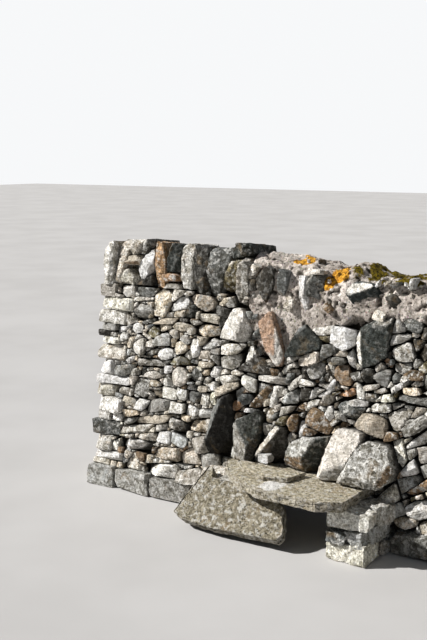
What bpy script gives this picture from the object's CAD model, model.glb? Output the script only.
"""Dry stone wall with a gateway head, upright cope stones, a mortared cap and a slab-topped culvert.

Each stone is a closed form of its own: a few cutting planes give its broken faces, the edges between them
are worn round, and noise roughens them. The single face stones are laid out on flat panels, one for each
side.
"""
import math

import bpy
import numpy as np
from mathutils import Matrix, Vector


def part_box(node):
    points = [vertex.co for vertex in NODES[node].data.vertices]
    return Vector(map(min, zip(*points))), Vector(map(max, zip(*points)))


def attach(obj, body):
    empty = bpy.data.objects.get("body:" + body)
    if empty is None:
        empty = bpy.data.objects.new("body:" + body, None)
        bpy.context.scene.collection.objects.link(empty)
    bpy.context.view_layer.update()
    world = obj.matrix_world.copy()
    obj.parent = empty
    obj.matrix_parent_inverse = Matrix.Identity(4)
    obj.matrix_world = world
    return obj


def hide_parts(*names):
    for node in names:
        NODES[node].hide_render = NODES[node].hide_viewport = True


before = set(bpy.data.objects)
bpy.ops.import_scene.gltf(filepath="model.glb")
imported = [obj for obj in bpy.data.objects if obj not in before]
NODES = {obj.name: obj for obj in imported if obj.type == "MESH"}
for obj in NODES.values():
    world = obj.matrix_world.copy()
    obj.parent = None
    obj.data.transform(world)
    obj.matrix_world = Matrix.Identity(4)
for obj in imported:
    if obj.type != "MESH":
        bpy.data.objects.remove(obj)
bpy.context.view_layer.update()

rng = np.random.default_rng(427)

# Main lines of the wall, in metres: its ends, the tops of the footings, of the abutments and of the faces,
# the culvert, where the mortared cap starts, the half thickness at the base and how much it falls by metre
X0, X1 = (corner[0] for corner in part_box("footings"))
FOOTING_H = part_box("footings")[1][2]
COURSE, BED = (corner[2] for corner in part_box("head_gateway"))
CULVERT_X = (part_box("abutment_left")[1][0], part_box("abutment_right")[0][0])
CULVERT_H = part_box("lintel_front")[0][2]
CAP_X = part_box("cap_bay_2")[0][0]
BASE_HALF = 0.415
BATTER = 0.10
BAY_L = 1.2
BAYS = round((X1 - X0) / BAY_L)


def half_w(z):
    """Half the wall's thickness at a height."""
    return BASE_HALF - BATTER * z


def along(d):
    """X of a distance from the gateway end."""
    return X0 + d


def beyond(x, start, run):
    """0 up to a distance from the gateway end, and rising to 1 over the run that follows."""
    return min(max((x - X0 - start) / run, 0), 1)


def add_object(name, data):
    """Puts an object with its data in the scene."""
    thing = bpy.data.objects.new(name, data)
    bpy.context.scene.collection.objects.link(thing)
    return thing


# Camera, as worked out from the photo: place in metres, angles in degrees, lens and sensor in millimetres
CAMERA_AT = (5.874, -7.128, 2.90)
CAMERA_DOWN = 9.2
CAMERA_TURN = 35
LENS = 59.06
SENSOR_H = 36.0


def make_camera():
    data = bpy.data.cameras.new("camera")
    data.sensor_fit = "VERTICAL"
    data.sensor_height = SENSOR_H
    data.lens = LENS
    camera = add_object("camera", data)
    camera.location = CAMERA_AT
    camera.rotation_euler = (math.radians(90 - CAMERA_DOWN), 0, math.radians(CAMERA_TURN))
    bpy.context.scene.camera = camera


make_camera()


# Colours

def linear(red, green, blue):
    """Linear colour of one that is given as it looks, in 0 to 255."""
    return [(c / 255) ** 2.2 for c in (red, green, blue)]


TONES = {
    "white": linear(240, 239, 236),
    "pale": linear(222, 218, 212),
    "buff": linear(206, 197, 182),
    "grey": linear(170, 169, 166),
    "slate": linear(114, 116, 115),
    "iron": linear(60, 64, 62),
    "dark": linear(70, 68, 64),
    "black": linear(50, 49, 47),
    "brown": linear(138, 119, 98),
    "tan": linear(188, 156, 122),
    "rust": linear(172, 138, 110),
    "olive": linear(128, 122, 98),
    "red": linear(180, 152, 132),
}


# Noise

class Noise:
    """Smooth gradient noise in space, about -1 to 1."""
    CELLS = 256
    GAIN = 1.6

    def __init__(self, seed):
        source = np.random.default_rng(seed)
        self.order = np.tile(source.permutation(self.CELLS), 3)
        slopes = source.normal(size=(self.CELLS, 3))
        self.slopes = slopes / np.linalg.norm(slopes, axis=1, keepdims=True)

    def at(self, points):
        cell = np.floor(points).astype(int)
        part = points - cell
        ease = part ** 3 * (part * (part * 6 - 15) + 10)
        cell &= self.CELLS - 1
        total = 0
        for corner in np.ndindex(2, 2, 2):
            step = np.array(corner)
            x, y, z = np.moveaxis(cell + step, -1, 0)
            slope = self.slopes[self.order[self.order[self.order[x] + y] + z]]
            share = np.where(step == 1, ease, 1 - ease).prod(-1)
            total = total + share * (slope * (part - step)).sum(-1)
        return total * self.GAIN


NOISE = Noise(7)
OCTAVE_SHIFT = 17.3


def rough(points, length, octaves=3, fall=0.5):
    """Sum of noises: the first has waves of the given length, each next one half of it."""
    total = 0
    for octave in range(octaves):
        total = total + fall ** octave * NOISE.at(points * 2 ** octave / length + OCTAVE_SHIFT * octave)
    return total


# Meshes

def box_grid(*cuts):
    """Points and outward quads of a cube from -1 to 1, cut along each axis at the given places."""
    index = {}
    points = []
    quads = []

    def number(place):
        if place not in index:
            index[place] = len(points)
            points.append(place)
        return index[place]

    for axis in range(3):
        a, b = (axis + 1) % 3, (axis + 2) % 3
        for side in (-1, 1):
            for i, j in np.ndindex(len(cuts[a]) - 1, len(cuts[b]) - 1):
                quad = []
                for s, t in ((i, j), (i + 1, j), (i + 1, j + 1), (i, j + 1)):
                    place = [side] * 3
                    place[a] = cuts[a][s]
                    place[b] = cuts[b][t]
                    quad.append(number(tuple(place)))
                quads.append(quad if side > 0 else quad[::-1])
    return np.array(points, float), np.array(quads)


def even(count):
    """Even cuts from -1 to 1."""
    return [round(-1 + 2 * i / count, 6) for i in range(count + 1)]


def rimmed(count, rim):
    """Cuts from -1 to 1 with a narrow one at each end."""
    inner = [round((1 - rim) * (-1 + 2 * i / (count - 2)), 6) for i in range(count - 1)]
    return [-1, *inner, 1]


# Grids for the stones: cuts across, up and from back to front
FACE_DEPTHS = [-1, 0.1, 0.6, 0.88, 1]
BLOCK_DEPTHS = rimmed(5, 0.12)
GRIDS = {
    "pin": box_grid(rimmed(4, 0.2), rimmed(4, 0.2), [-1, 0.3, 1]),
    "small": box_grid(rimmed(6, 0.13), rimmed(5, 0.13), FACE_DEPTHS),
    "medium": box_grid(rimmed(8, 0.09), rimmed(7, 0.09), FACE_DEPTHS),
    "large": box_grid(rimmed(12, 0.06), rimmed(10, 0.06), [-1, 0, 0.5, 0.75, 0.92, 1]),
    "block": box_grid(rimmed(7, 0.1), rimmed(6, 0.1), BLOCK_DEPTHS),
    "long": box_grid(rimmed(14, 0.05), rimmed(11, 0.06), BLOCK_DEPTHS),
    "boulder": box_grid(rimmed(22, 0.04), rimmed(22, 0.04),
                        [-1, -0.95, -0.7, -0.3, 0.1, 0.4, 0.65, 0.82, 0.94, 1]),
}
# Grids for the face stones by size: each one up to this half width, in metres
GRID_REACH = {"pin": 0.03, "small": 0.07, "medium": 0.12, "large": math.inf}


def make_mesh(name, points, quads, attributes, sharp_angle=34):
    """Mesh of quads with point attributes: name -> array of rows of 3 or 4 numbers."""
    mesh = bpy.data.meshes.new(name)
    mesh.vertices.add(len(points))
    mesh.vertices.foreach_set("co", np.asarray(points, np.float32).ravel())
    mesh.loops.add(quads.size)
    mesh.loops.foreach_set("vertex_index", quads.astype(np.int32).ravel())
    mesh.polygons.add(len(quads))
    mesh.polygons.foreach_set("loop_start", np.arange(0, quads.size, quads.shape[1], dtype=np.int32))
    mesh.update(calc_edges=True)
    for key, rows in attributes.items():
        kind, field = ("FLOAT_COLOR", "color") if rows.shape[1] == 4 else ("FLOAT_VECTOR", "vector")
        mesh.attributes.new(key, kind, "POINT").data.foreach_set(field, rows.astype(np.float32).ravel())
    mesh.polygons.foreach_set("use_smooth", np.ones(len(quads), bool))
    mesh.set_sharp_from_angle(angle=math.radians(sharp_angle))
    mesh.validate()
    return mesh


def joined(parts):
    """Joins meshes that are given as points, quads and rows of attributes."""
    points, quads, *rows = zip(*parts)
    starts = np.cumsum([0] + [len(p) for p in points[:-1]])
    quads = [q + start for q, start in zip(quads, starts)]
    return [np.concatenate(group) for group in (points, quads, *rows)]


def tube_quads(rows, around):
    """Quads of rows of points that run round, with fans to two last points as its ends."""
    i, j = np.meshgrid(np.arange(rows - 1), np.arange(around), indexing="ij")
    k = (j + 1) % around
    sides = [i * around + j, (i + 1) * around + j, (i + 1) * around + k, i * around + k]
    first_end, last = rows * around, (rows - 1) * around
    fans = []
    for a in range(0, around - around % 2, 2):
        b, c = a + 1, (a + 2) % around
        fans += [[first_end, a, b, c], [first_end + 1, last + c, last + b, last + a]]
    return np.concatenate([np.stack(sides, -1).reshape(-1, 4), fans])


def add_piece(name, mesh, material, slot, *nodes):
    """Puts a piece in the scene in place of CAD nodes."""
    piece = add_object(name, mesh)
    mesh.materials.append(material)
    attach(piece, "root")
    if nodes:
        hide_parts(*nodes)


# Stones

STONES = []
USUAL_LOOKS = dict(wear=50, lumps=0.016, grain=0.0022, lichen=0.3, bedding=0.5, shadowed=0.0)


def unit(vector):
    vector = np.asarray(vector, float)
    return vector / np.linalg.norm(vector)


def unit_rows(rows):
    return rows / np.maximum(np.linalg.norm(rows, axis=-1, keepdims=True), 1e-9)


def add_stone(piece, grid, centre, axes, half, planes, tone, **looks):
    """Notes a stone. axes are its own X, Y and Z. planes are (normal, distance from its middle), in them,
    and a plane may have a tone of its own as a third entry. looks change USUAL_LOOKS: wear is high for sharp
    edges, lumps and grain are the heights of broad and fine relief, and shadowed darkens the joints."""
    form = dict(centre=np.array(centre, float), axes=np.array(axes, float), half=np.array(half, float))
    STONES.append(dict(USUAL_LOOKS, piece=piece, grid=grid, planes=planes, tone=tone, **form, **looks))


def shade(tone, spread=0.13):
    """A tone with a small random change of its lightness and warmth."""
    base = np.array(TONES[tone]) * (1 + rng.normal(0, spread))
    warm = rng.normal(0, 0.03)
    return np.clip(base * np.array([1 + warm, 1, 1 - warm]), 0.01, 0.8)


def planes_of(stones):
    """Normals, distances and tones of the stones' planes. A stone that has fewer gets spare ones, which cut
    nothing."""
    most = max(len(s["planes"]) for s in stones)
    normals = np.zeros((len(stones), most, 3))
    distances = np.ones((len(stones), most))
    tones = np.array([[s["tone"]] * most for s in stones])
    for i, stone in enumerate(stones):
        for k, (normal, distance, *own_tone) in enumerate(stone["planes"]):
            normals[i, k] = unit(normal)
            distances[i, k] = distance
            if own_tone:
                tones[i, k] = own_tone[0]
    return normals, distances, tones


def shape_stones(stones, grid):
    """Points, quads and attributes of the noted stones that share a grid.

    A point lies where its ray meets a soft minimum of the planes, so that the edges between them are round.
    """
    directions, quads = GRIDS[grid]
    normals, distances, tones = planes_of(stones)
    centre, axes, half = (np.array([s[key] for s in stones]) for key in ("centre", "axes", "half"))
    wear, lumps, grain, lichen, bedding, shadowed = (np.array([[s[key]] for s in stones], float)
                                                     for key in USUAL_LOOKS)
    wear = wear[..., None]
    rays = directions * half[:, None]
    reach = np.maximum(np.einsum("nvi,nki->nvk", rays, normals) / distances[:, None], 1e-6)
    weight = reach ** wear
    total = weight.sum(-1, keepdims=True)
    local = rays * total ** (-1 / wear)
    weight /= total
    outward = unit_rows(np.einsum("nvk,nki->nvi", weight, normals))
    own = rng.uniform(0, 50, (len(stones), 1, 3))
    size = np.cbrt(half.prod(1))[:, None]
    relief = lumps * size * 2 * rough(local / size[..., None] + own, 1.1, 2)
    relief += grain * rough(local + own, 0.045, 3, 0.6) * 1.3
    local = local + outward * relief[..., None]
    world = np.einsum("nvi,nij->nvj", local, axes) + centre[:, None]
    world[..., 2] = np.maximum(world[..., 2], 0)
    every = np.ones(world.shape[:2])
    tone = np.concatenate([np.einsum("nvk,nki->nvi", weight, tones), (every * lichen)[..., None]], -1)
    inner = np.clip((0.9 - directions[:, 2]) / 1.2, 0, 1) * shadowed
    edge = 1 - weight.max(-1)
    worn = np.stack([edge, inner, every * bedding], -1)
    quads = quads + (np.arange(len(stones)) * len(directions))[:, None, None]
    return (world.reshape(-1, 3), quads.reshape(-1, 4), tone.reshape(-1, 4), (local + own).reshape(-1, 3),
            worn.reshape(-1, 3))


def stone_piece(name, slot, *nodes):
    """Makes one piece of all the stones noted under its name."""
    groups = [(grid, [s for s in STONES if s["piece"] == name and s["grid"] == grid]) for grid in GRIDS]
    points, quads, tone, grain, wear = joined([shape_stones(group, grid) for grid, group in groups if group])
    mesh = make_mesh(name, points, quads, {"tone": tone, "grain": grain, "wear": wear}, sharp_angle=13)
    add_piece(name, mesh, STONE_MATERIAL, slot, *nodes)


def box_stone(piece, grid, low, high, tone, skew=0.07, cuts=5, cut_depth=0.13, **looks):
    """Roughly squared stone in a box given by two corners: its faces are skewed and its edges broken."""
    low, high = np.array(low, float), np.array(high, float)
    half = (high - low) / 2
    planes = []
    for axis in range(3):
        for side in (-1, 1):
            normal = rng.normal(0, skew, 3)
            normal[axis] = side
            planes.append((normal, half[axis] * rng.uniform(0.93, 1.0)))
    for _ in range(cuts):
        signs = rng.choice([-1, 1], 3)
        free = rng.integers(0, 3)
        normal = signs / half * rng.uniform(0.6, 1.4, 3)
        if rng.random() < 0.65:
            normal[free] *= rng.uniform(0, 0.15)
        normal = unit(normal)
        corner = (np.abs(normal) * half).sum()
        planes.append((normal, corner * (1 - rng.uniform(0.2, 1) * cut_depth)))
    add_stone(piece, grid, (low + high) / 2, np.eye(3), half, planes, tone, **looks)


def corners_of(mesh, polygon):
    return np.array([mesh.vertices[i].co[:] for i in polygon.vertices])


def islands(node):
    """The separate solids of a CAD node, from left to right, each as its polygons' (normal, corners) and all
    their corners."""
    mesh = NODES[node].data
    group = list(range(len(mesh.vertices)))

    def root(i):
        while group[i] != i:
            group[i] = group[group[i]]
            i = group[i]
        return i

    places = {}
    for vertex in mesh.vertices:
        key = tuple(round(c, 5) for c in vertex.co)
        group[vertex.index] = places.setdefault(key, vertex.index)
    for polygon in mesh.polygons:
        first = root(polygon.vertices[0])
        for i in polygon.vertices:
            group[root(i)] = first
    parts = {}
    for polygon in mesh.polygons:
        side = (np.array(polygon.normal[:]), corners_of(mesh, polygon))
        parts.setdefault(root(polygon.vertices[0]), []).append(side)
    found = [(sides, np.concatenate([corners for _, corners in sides])) for sides in parts.values()]
    return sorted(found, key=lambda part: part[1][:, 0].mean())


def outline_of(node):
    """Outline of a node as seen from the front."""
    return hull(islands(node)[0][1][:, [0, 2]])


# Laying out a panel of face stones. An outline is an array of (across, up) points that run anticlockwise.

# Smallest outline that is made into a stone, in square metres
LEAST_AREA = 4e-4


def clip(outline, point, normal):
    """The part of a convex outline behind a line."""
    side = (outline - point) @ normal
    kept = []
    for i in range(len(outline)):
        j = (i + 1) % len(outline)
        if side[i] <= 0:
            kept.append(outline[i])
        if (side[i] <= 0) != (side[j] <= 0):
            kept.append(outline[i] + side[i] / (side[i] - side[j]) * (outline[j] - outline[i]))
    return np.array(kept).reshape(-1, 2)


def area(outline):
    if len(outline) < 3:
        return 0.0
    x, y = outline[:, 0], outline[:, 1]
    return 0.5 * abs(x @ np.roll(y, -1) - y @ np.roll(x, -1))


def middle(outline):
    """Centre of an outline's area."""
    x, y = outline[:, 0], outline[:, 1]
    cross = x * np.roll(y, -1) - y * np.roll(x, -1)
    whole = cross.sum() * 3
    return np.array([((x + np.roll(x, -1)) * cross).sum(), ((y + np.roll(y, -1)) * cross).sum()]) / whole


def edges(outline):
    """Outward unit normal and first point of each edge of an outline."""
    step = np.roll(outline, -1, 0) - outline
    length = np.linalg.norm(step, axis=1, keepdims=True)
    keep = length[:, 0] > 1e-6
    normals = np.stack([step[:, 1], -step[:, 0]], 1)[keep] / length[keep]
    return normals, outline[keep]


def inside(points, outline):
    """Whether each point lies in a convex outline."""
    normals, starts = edges(outline)
    return (((points[..., None, :] - starts) * normals).sum(-1) <= 0).all(-1)


def rect(x0, x1, z0, z1):
    return np.array([[x0, z0], [x1, z0], [x1, z1], [x0, z1]], float)


def spin_of(angle):
    """Rows are the axes of a frame that is turned by an angle."""
    c, s = math.cos(angle), math.sin(angle)
    return np.array([[c, s], [-s, c]])


def metres(corners):
    """Convex outline in metres, from corners in centimetres: distance from the gateway end, height."""
    return hull([(along(d / 100), z / 100) for d, z in corners])


def hull(points):
    """Convex outline around points."""
    points = sorted({(round(x, 4), round(z, 4)) for x, z in points})

    def half_hull(items):
        kept = []
        for p in items:
            while len(kept) > 1 and ((kept[-1][0] - kept[-2][0]) * (p[1] - kept[-2][1])
                                     - (kept[-1][1] - kept[-2][1]) * (p[0] - kept[-2][0])) <= 0:
                kept.pop()
            kept.append(p)
        return kept[:-1]

    return np.array(half_hull(points) + half_hull(points[::-1]))


def overlap(first, second):
    """Whether two convex outlines share some room."""
    for one, other in ((first, second), (second, first)):
        normals, starts = edges(one)
        if (((other[:, None] - starts) * normals).sum(-1).min(0) > -1e-4).any():
            return False
    return True


class Block:
    """A stone as it is first placed: a turned rectangle."""

    def __init__(self, x, z, width, height, tilt=0.0, tone="pale"):
        self.centre = np.array([x, z], float)
        self.half = np.array([width, height]) / 2
        self.tilt = math.radians(tilt)
        self.axes = spin_of(self.tilt)
        self.tone = tone

    def outline(self, grow=1.0):
        signs = np.array([[-1, -1], [1, -1], [1, 1], [-1, 1]])
        return self.centre + (signs * self.half * grow) @ self.axes

    def facing(self, step):
        """Normal of the side that faces along a step, and how many half widths the step is."""
        share = self.axes @ step / self.half
        side = int(abs(share[1]) > abs(share[0]))
        return math.copysign(1, share[side]) * self.axes[side], abs(share[side])

    def clash_share(self, outlines, spread=0.7):
        """Share of nine spots on the block that lie in any of the outlines."""
        signs = np.array([[a, b] for a in (-spread, 0, spread) for b in (-spread, 0, spread)])
        spots = self.centre + (signs * self.half) @ self.axes
        return np.any([inside(spots, outline) for outline in outlines], axis=0).mean()


def part_from(outline, centre, wall, gap):
    """What is left of an outline beside a convex one: the cut along that one's edges which keeps most."""
    normals, starts = wall
    side = ((centre - starts) * normals).sum(1)
    best = outline[:0]
    for k in np.nonzero(side > 0.25 * side.max())[0] if side.max() > 0 else []:
        kept = clip(outline, starts[k] + normals[k] * gap, -normals[k])
        if area(kept) > area(best):
            best = kept
    return best


def lay_out(blocks, fixed, field, gap=0.005, grow=1.1):
    """Outline of each block once the fixed outlines, the field's edges and its neighbours have cut it."""
    centres = np.array([b.centre for b in blocks])
    reach = np.array([np.linalg.norm(b.half) * grow for b in blocks])
    middles = np.array([f.mean(0) for f in fixed]).reshape(-1, 2)
    radii = np.array([np.linalg.norm(f - f.mean(0), axis=1).max() for f in fixed])
    borders = edges(field)
    walls = [edges(f) for f in fixed]
    result = []
    for i, block in enumerate(blocks):
        outline = block.outline(grow)
        for normal, point in zip(*borders):
            outline = clip(outline, point, normal) if len(outline) else outline
        steps = centres - block.centre
        close = (np.linalg.norm(steps, axis=1) < reach[i] + reach) & (np.arange(len(blocks)) != i)
        for j in np.nonzero(close)[0]:
            mine, mine_share = block.facing(steps[j])
            other, other_share = blocks[j].facing(-steps[j])
            if mine_share + other_share < 1e-6 or not len(outline):
                continue
            share = other_share / (mine_share + other_share)
            normal = mine - other
            if np.linalg.norm(normal) < 1e-3:
                normal = steps[j]
            normal = unit(normal)
            outline = clip(outline, block.centre + steps[j] * (1 - share) - normal * gap / 2, normal)
        for k in np.nonzero(np.linalg.norm(middles - block.centre, axis=1) < radii + reach[i])[0]:
            if len(outline):
                outline = part_from(outline, block.centre, walls[k], gap)
        result.append(outline if area(outline) > LEAST_AREA else None)
    return result


def roughened(outline, slant=0.11, broken=0.42, corners=3):
    """Turns the sides of an outline inwards a little and breaks some of its corners off, each by up to the
    given share of a side."""
    whole = outline
    for start, end in zip(whole, np.roll(whole, -1, 0)):
        step = end - start
        turn = abs(rng.normal(0, slant)) * rng.choice([-1, 1])
        pivot = start if turn > 0 else end
        turn = math.atan2(-step[0], step[1]) + turn
        kept = clip(outline, pivot, np.array([math.cos(turn), math.sin(turn)]))
        if area(kept) > 0.8 * area(outline):
            outline = kept
    for _ in range(rng.integers(0, corners + 1)):
        i = rng.integers(0, len(outline))
        before, at, after = outline[i - 1], outline[i], outline[(i + 1) % len(outline)]
        first = at + (before - at) * rng.uniform(0.06, broken)
        last = at + (after - at) * rng.uniform(0.06, broken)
        outline = np.concatenate([outline[:i], [first, last], outline[i + 1:]])
    return outline


def shard(x, z, width, height, tilt, corners=7):
    """Outline of a small broken stone."""
    angles = np.sort(rng.uniform(0, 2 * math.pi, corners))
    offsets = np.stack([np.cos(angles) * width, np.sin(angles) * height], 1) / 2
    return hull(np.array([x, z]) + offsets @ spin_of(tilt))


def coverage(outlines, field_low, field_high, cell):
    """Grid of the cells whose middles lie in an outline."""
    counts = np.ceil((field_high - field_low) / cell).astype(int)
    grid = np.zeros(counts, bool)
    for outline in outlines:
        low = np.maximum(((outline.min(0) - field_low) / cell).astype(int), 0)
        high = np.minimum(((outline.max(0) - field_low) / cell).astype(int) + 1, counts)
        if (high <= low).any():
            continue
        x, z = (field_low[k] + (np.arange(low[k], high[k]) + 0.5) * cell for k in (0, 1))
        points = np.stack(np.meshgrid(x, z, indexing="ij"), -1)
        grid[low[0]:high[0], low[1]:high[1]] |= inside(points, outline)
    return grid


def clearance(covered, most=12):
    """Distance of each open cell from the nearest covered one, in cells."""
    room = np.where(covered, 0.0, 99.0)
    room = np.pad(room, 1, constant_values=0)
    for _ in range(most):
        for dx, dz in ((1, 0), (-1, 0), (0, 1), (0, -1), (1, 1), (1, -1), (-1, 1), (-1, -1)):
            room = np.minimum(room, np.roll(room, (dx, dz), (0, 1)) + math.hypot(dx, dz))
        room[0] = room[-1] = 0
        room[:, 0] = room[:, -1] = 0
    return room[1:-1, 1:-1]


def fill_gaps(outlines, field, smallest, tone_of, lean_of, passes=5, cell=0.008, tries=6000):
    """Small stones for the room that the outlines leave. Gives (block, outline) pairs."""
    low, high = field.min(0), field.max(0)
    taken = list(outlines)
    found = []
    for _ in range(passes):
        room = clearance(coverage(taken, low, high, cell))
        order = np.argsort(-room, axis=None)
        added = []
        for i, j in np.stack(np.unravel_index(order[:tries], room.shape), 1):
            radius = room[i, j] * cell
            place = low + (np.array([i, j]) + 0.5) * cell
            if radius < smallest(place[0]):
                continue
            if all(np.hypot(*(place - other[:2])) > 1.3 * (radius + other[2]) for other in added):
                added.append((*place, radius))
        if not added:
            break
        blocks = [Block(x, z, 2 * r * rng.uniform(1.5, 2.6), 2 * r * rng.uniform(1.1, 1.5),
                        lean_of(x) + rng.normal(0, 14), tone_of(x)) for x, z, r in added]
        for block, outline in zip(blocks, lay_out(blocks, taken, field, gap=0.004, grow=1.0)):
            if outline is not None:
                found.append((block, outline))
                taken.append(outline)
    return found


class Panel:
    """A flat or battered side of the wall: where its (across, up) points lie, and which way it faces."""

    def __init__(self, place, across, up=(0, 0, 1)):
        self.place = place
        self.across = np.array(across, float)
        self.up = unit(up)
        self.out = np.cross(self.across, self.up)

    def rect(self, x0, x1, z0, z1):
        """Outline of a stretch of the wall, given by X and height."""
        return rect(*sorted((self.across[0] * x0, self.across[0] * x1)), z0, z1)


# Distances of the cap's faces from the middle of the wall
CAP_FRONT_Y = 0.238
CAP_BACK_Y = 0.236
FRONT = Panel(lambda x, z: np.array([x, -half_w(z), z]), (1, 0, 0), (0, BATTER, 1))
BACK = Panel(lambda x, z: np.array([-x, half_w(z), z]), (-1, 0, 0), (0, -BATTER, 1))
CAP_FRONT = Panel(lambda x, z: np.array([x, -CAP_FRONT_Y, z]), (1, 0, 0))
CAP_BACK = Panel(lambda x, z: np.array([-x, CAP_BACK_Y, z]), (-1, 0, 0))
CHEEK_LEFT = Panel(lambda x, z: np.array([CULVERT_X[0], x, z]), (0, 1, 0))
CHEEK_RIGHT = Panel(lambda x, z: np.array([CULVERT_X[1], -x, z]), (0, -1, 0))

# How the front of a stone of each tone faces, to the right and upwards: the dark ones turn from the light
TURN = {
    "white": (-0.22, 0.20), "pale": (-0.17, 0.17), "buff": (-0.14, 0.15), "grey": (-0.02, 0.05),
    "slate": (0.16, -0.06), "iron": (0.18, -0.08), "dark": (0.24, -0.12), "brown": (0.10, 0.0),
    "rust": (0.0, 0.05), "olive": (0.12, -0.05), "red": (-0.05, 0.08),
}


def side_planes(outline, least, level, z_half, taper, chips, joint, deep):
    """Sides of a stone from its outline about its middle, and chips along their front edges, and along the
    back ones too if the stone is deep. chips is the share of edges with a big one."""
    planes = []
    for normal, start in zip(*edges(outline)):
        start = start - normal * min(rng.exponential(joint), 0.3 * least)
        side = unit([*normal, -rng.uniform(0.0, taper)])
        planes.append((side, max(side @ [*start, -level], 0.3 * least)))
        for facing in (1, -1) if deep else (1,):
            chance = rng.random()
            if chance > chips + 0.22:
                continue
            big = chance < chips
            lift = math.radians(rng.uniform(20, 52) if big else rng.uniform(35, 60))
            inset = least * (rng.uniform(0.15, 0.45) if big else rng.uniform(0.02, 0.07))
            bevel = np.array([*(normal * math.cos(lift)), facing * math.sin(lift)])
            corner = np.array([*(start - normal * inset), facing * z_half])
            planes.append((bevel, max(bevel @ corner, 0.35 * least)))
    return planes


def split_planes(half, spin, lit):
    """Two facets of a split front: one that faces the direction lit, and one turned away from it."""
    angle = math.radians(lit + rng.normal(0, 28))
    way = spin @ np.array([math.cos(angle), math.sin(angle)])
    reach = 1 / np.linalg.norm(way / half[:2])
    ridge = np.array([*(way * reach * rng.uniform(-0.45, 0.45)), half[2]])
    facets = [unit([*(way * slope), 1]) for slope in (rng.uniform(0.15, 0.5), -rng.uniform(0.35, 0.9))]
    return [(facet, max(facet @ ridge, 0.3 * half[2])) for facet in facets]


def random_facet(half, lean):
    """One facet of the front, at a slant to the main one."""
    angle = rng.uniform(0, 2 * math.pi)
    steep = rng.uniform(0.2, 0.75)
    way = np.array([math.cos(angle), math.sin(angle)])
    facet = unit([*(lean + way * steep), 1])
    right, upwards = (way[k] * half[k] * rng.uniform(0, 0.5) for k in (0, 1))
    return facet, max(facet @ np.array([right, upwards, half[2]]), 0.3 * half[2])


def face_stone(panel, outline, tone, piece, tilt=0.0, proud=0.0, depth=None, front=None, turn=None,
               grid=None, fine=1.0, taper=0.12, chips=0.22, facets=0.85, spread=0.13, joint=0.0015,
               split=0.4, lit=145, faces=(), **looks):
    """Stone in a panel: sides from its outline, a front of one to four facets, and chipped edges.

    It reaches depth behind the panel and front before it. turn says how its main facet faces. A share split
    of the stones has one side that faces the direction lit, in degrees, and one turned away from it. faces
    are further facets: slopes to the right and upwards, the place they run through, in halves of the stone,
    and perhaps a tone of their own.
    """
    spin = spin_of(tilt)
    mid = middle(outline)
    local = (outline - mid) @ spin.T
    shift = (local.max(0) + local.min(0)) / 2
    local = local - shift
    mid = mid + shift @ spin
    half = (local.max(0) - local.min(0)) / 2
    least = min(half)
    deep = depth is not None
    depth = depth or rng.uniform(0.10, 0.15) + 0.2 * least
    if front is None:
        front = min(0.012 + 0.20 * least, 0.04) * rng.uniform(0.2, 1.5)
    level = (front - depth) / 2
    z_half = (front + depth) / 2
    half = np.array([*half, z_half])
    planes = side_planes(local, least, level, z_half, taper, chips, joint, deep)
    lean = spin @ (np.array(TURN[tone] if turn is None else turn) + rng.normal(0, 0.15, 2))
    main = unit([*lean, 1])
    planes.append((main, main[2] * z_half))
    if rng.random() < split:
        planes += split_planes(half, spin, lit)
    for right, upwards, at_x, at_z, *own_tone in faces:
        facet = unit([right, upwards, 1])
        planes.append((facet, facet @ (half * [at_x, at_z, 1]), *[TONES[name] for name in own_tone]))
    for _ in range(rng.binomial(2, facets)):
        planes.append(random_facet(half, lean))
    planes.append(((0, 0, -1), z_half))
    if grid is None:
        grid = next(name for name, most in GRID_REACH.items() if max(half[:2]) * fine < most)
    c, s = spin[0]
    axes = [panel.across * c + panel.up * s, panel.up * c - panel.across * s, panel.out]
    centre = panel.place(*mid) + panel.out * (level + proud)
    usual = dict(lichen=rng.uniform(0.1, 0.6) * (0.4 if tone == "white" else 1), bedding=rng.random(),
                 wear=rng.uniform(110, 190), shadowed=0.0 if deep else 1.0)
    add_stone(piece, grid, centre, axes, half, planes, shade(tone, spread), **{**usual, **looks})


def large_stone(panel, outline, piece, tone, lichen, faces, **options):
    """Face stone whose front has facets of its own: the first of them is its main one."""
    options = {"grid": "boulder", "lumps": 0.02, "grain": 0.006, **options}
    face_stone(panel, outline, tone, piece, turn=faces[0][:2], faces=faces[1:], lichen=lichen, **options)


def lay_courses(x0, x1, z0, z1, size_at, tone_of, lean_of, tilt):
    """Rows of blocks with uneven heights and joints. size_at(x, z) gives the usual (width, height)."""
    blocks = []
    z = z0 - rng.uniform(0, 0.03)
    phase = rng.uniform(0, 6.28, 2)
    while z < z1 + 0.02:
        usual = size_at((x0 + x1) / 2, z)[1]
        row_h = usual * rng.uniform(0.75, 1.3)
        x = x0 - rng.uniform(0, 0.12)
        while x < x1:
            width, height = size_at(x, z)
            width *= rng.uniform(0.5, 1.8)
            height *= row_h / usual * rng.uniform(0.7, 1.35)
            wave = 0.02 * math.sin(2.1 * x + phase[0] + 3 * z) + 0.012 * math.sin(5.3 * x + phase[1])
            blocks.append(Block(x + width / 2, z + row_h / 2 + wave + rng.normal(0, 0.006), width, height,
                                lean_of(x) + rng.normal(0, tilt), tone_of(x)))
            x += width
        z += row_h
    return blocks


def mixed(weights):
    """Function that draws a tone by its weight."""
    names = list(weights)
    shares = np.array(list(weights.values()), float)
    return lambda: names[rng.choice(len(names), p=shares / shares.sum())]


light_tone = mixed({"pale": 36, "white": 26, "buff": 17, "grey": 13, "slate": 3, "dark": 2, "brown": 3})
dark_tone = mixed({"pale": 26, "grey": 20, "buff": 11, "white": 17, "slate": 9, "dark": 8, "brown": 7,
                   "rust": 2, "olive": 1})


def plain_tone():
    return rng.choice(["pale", "grey", "slate"])


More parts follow.
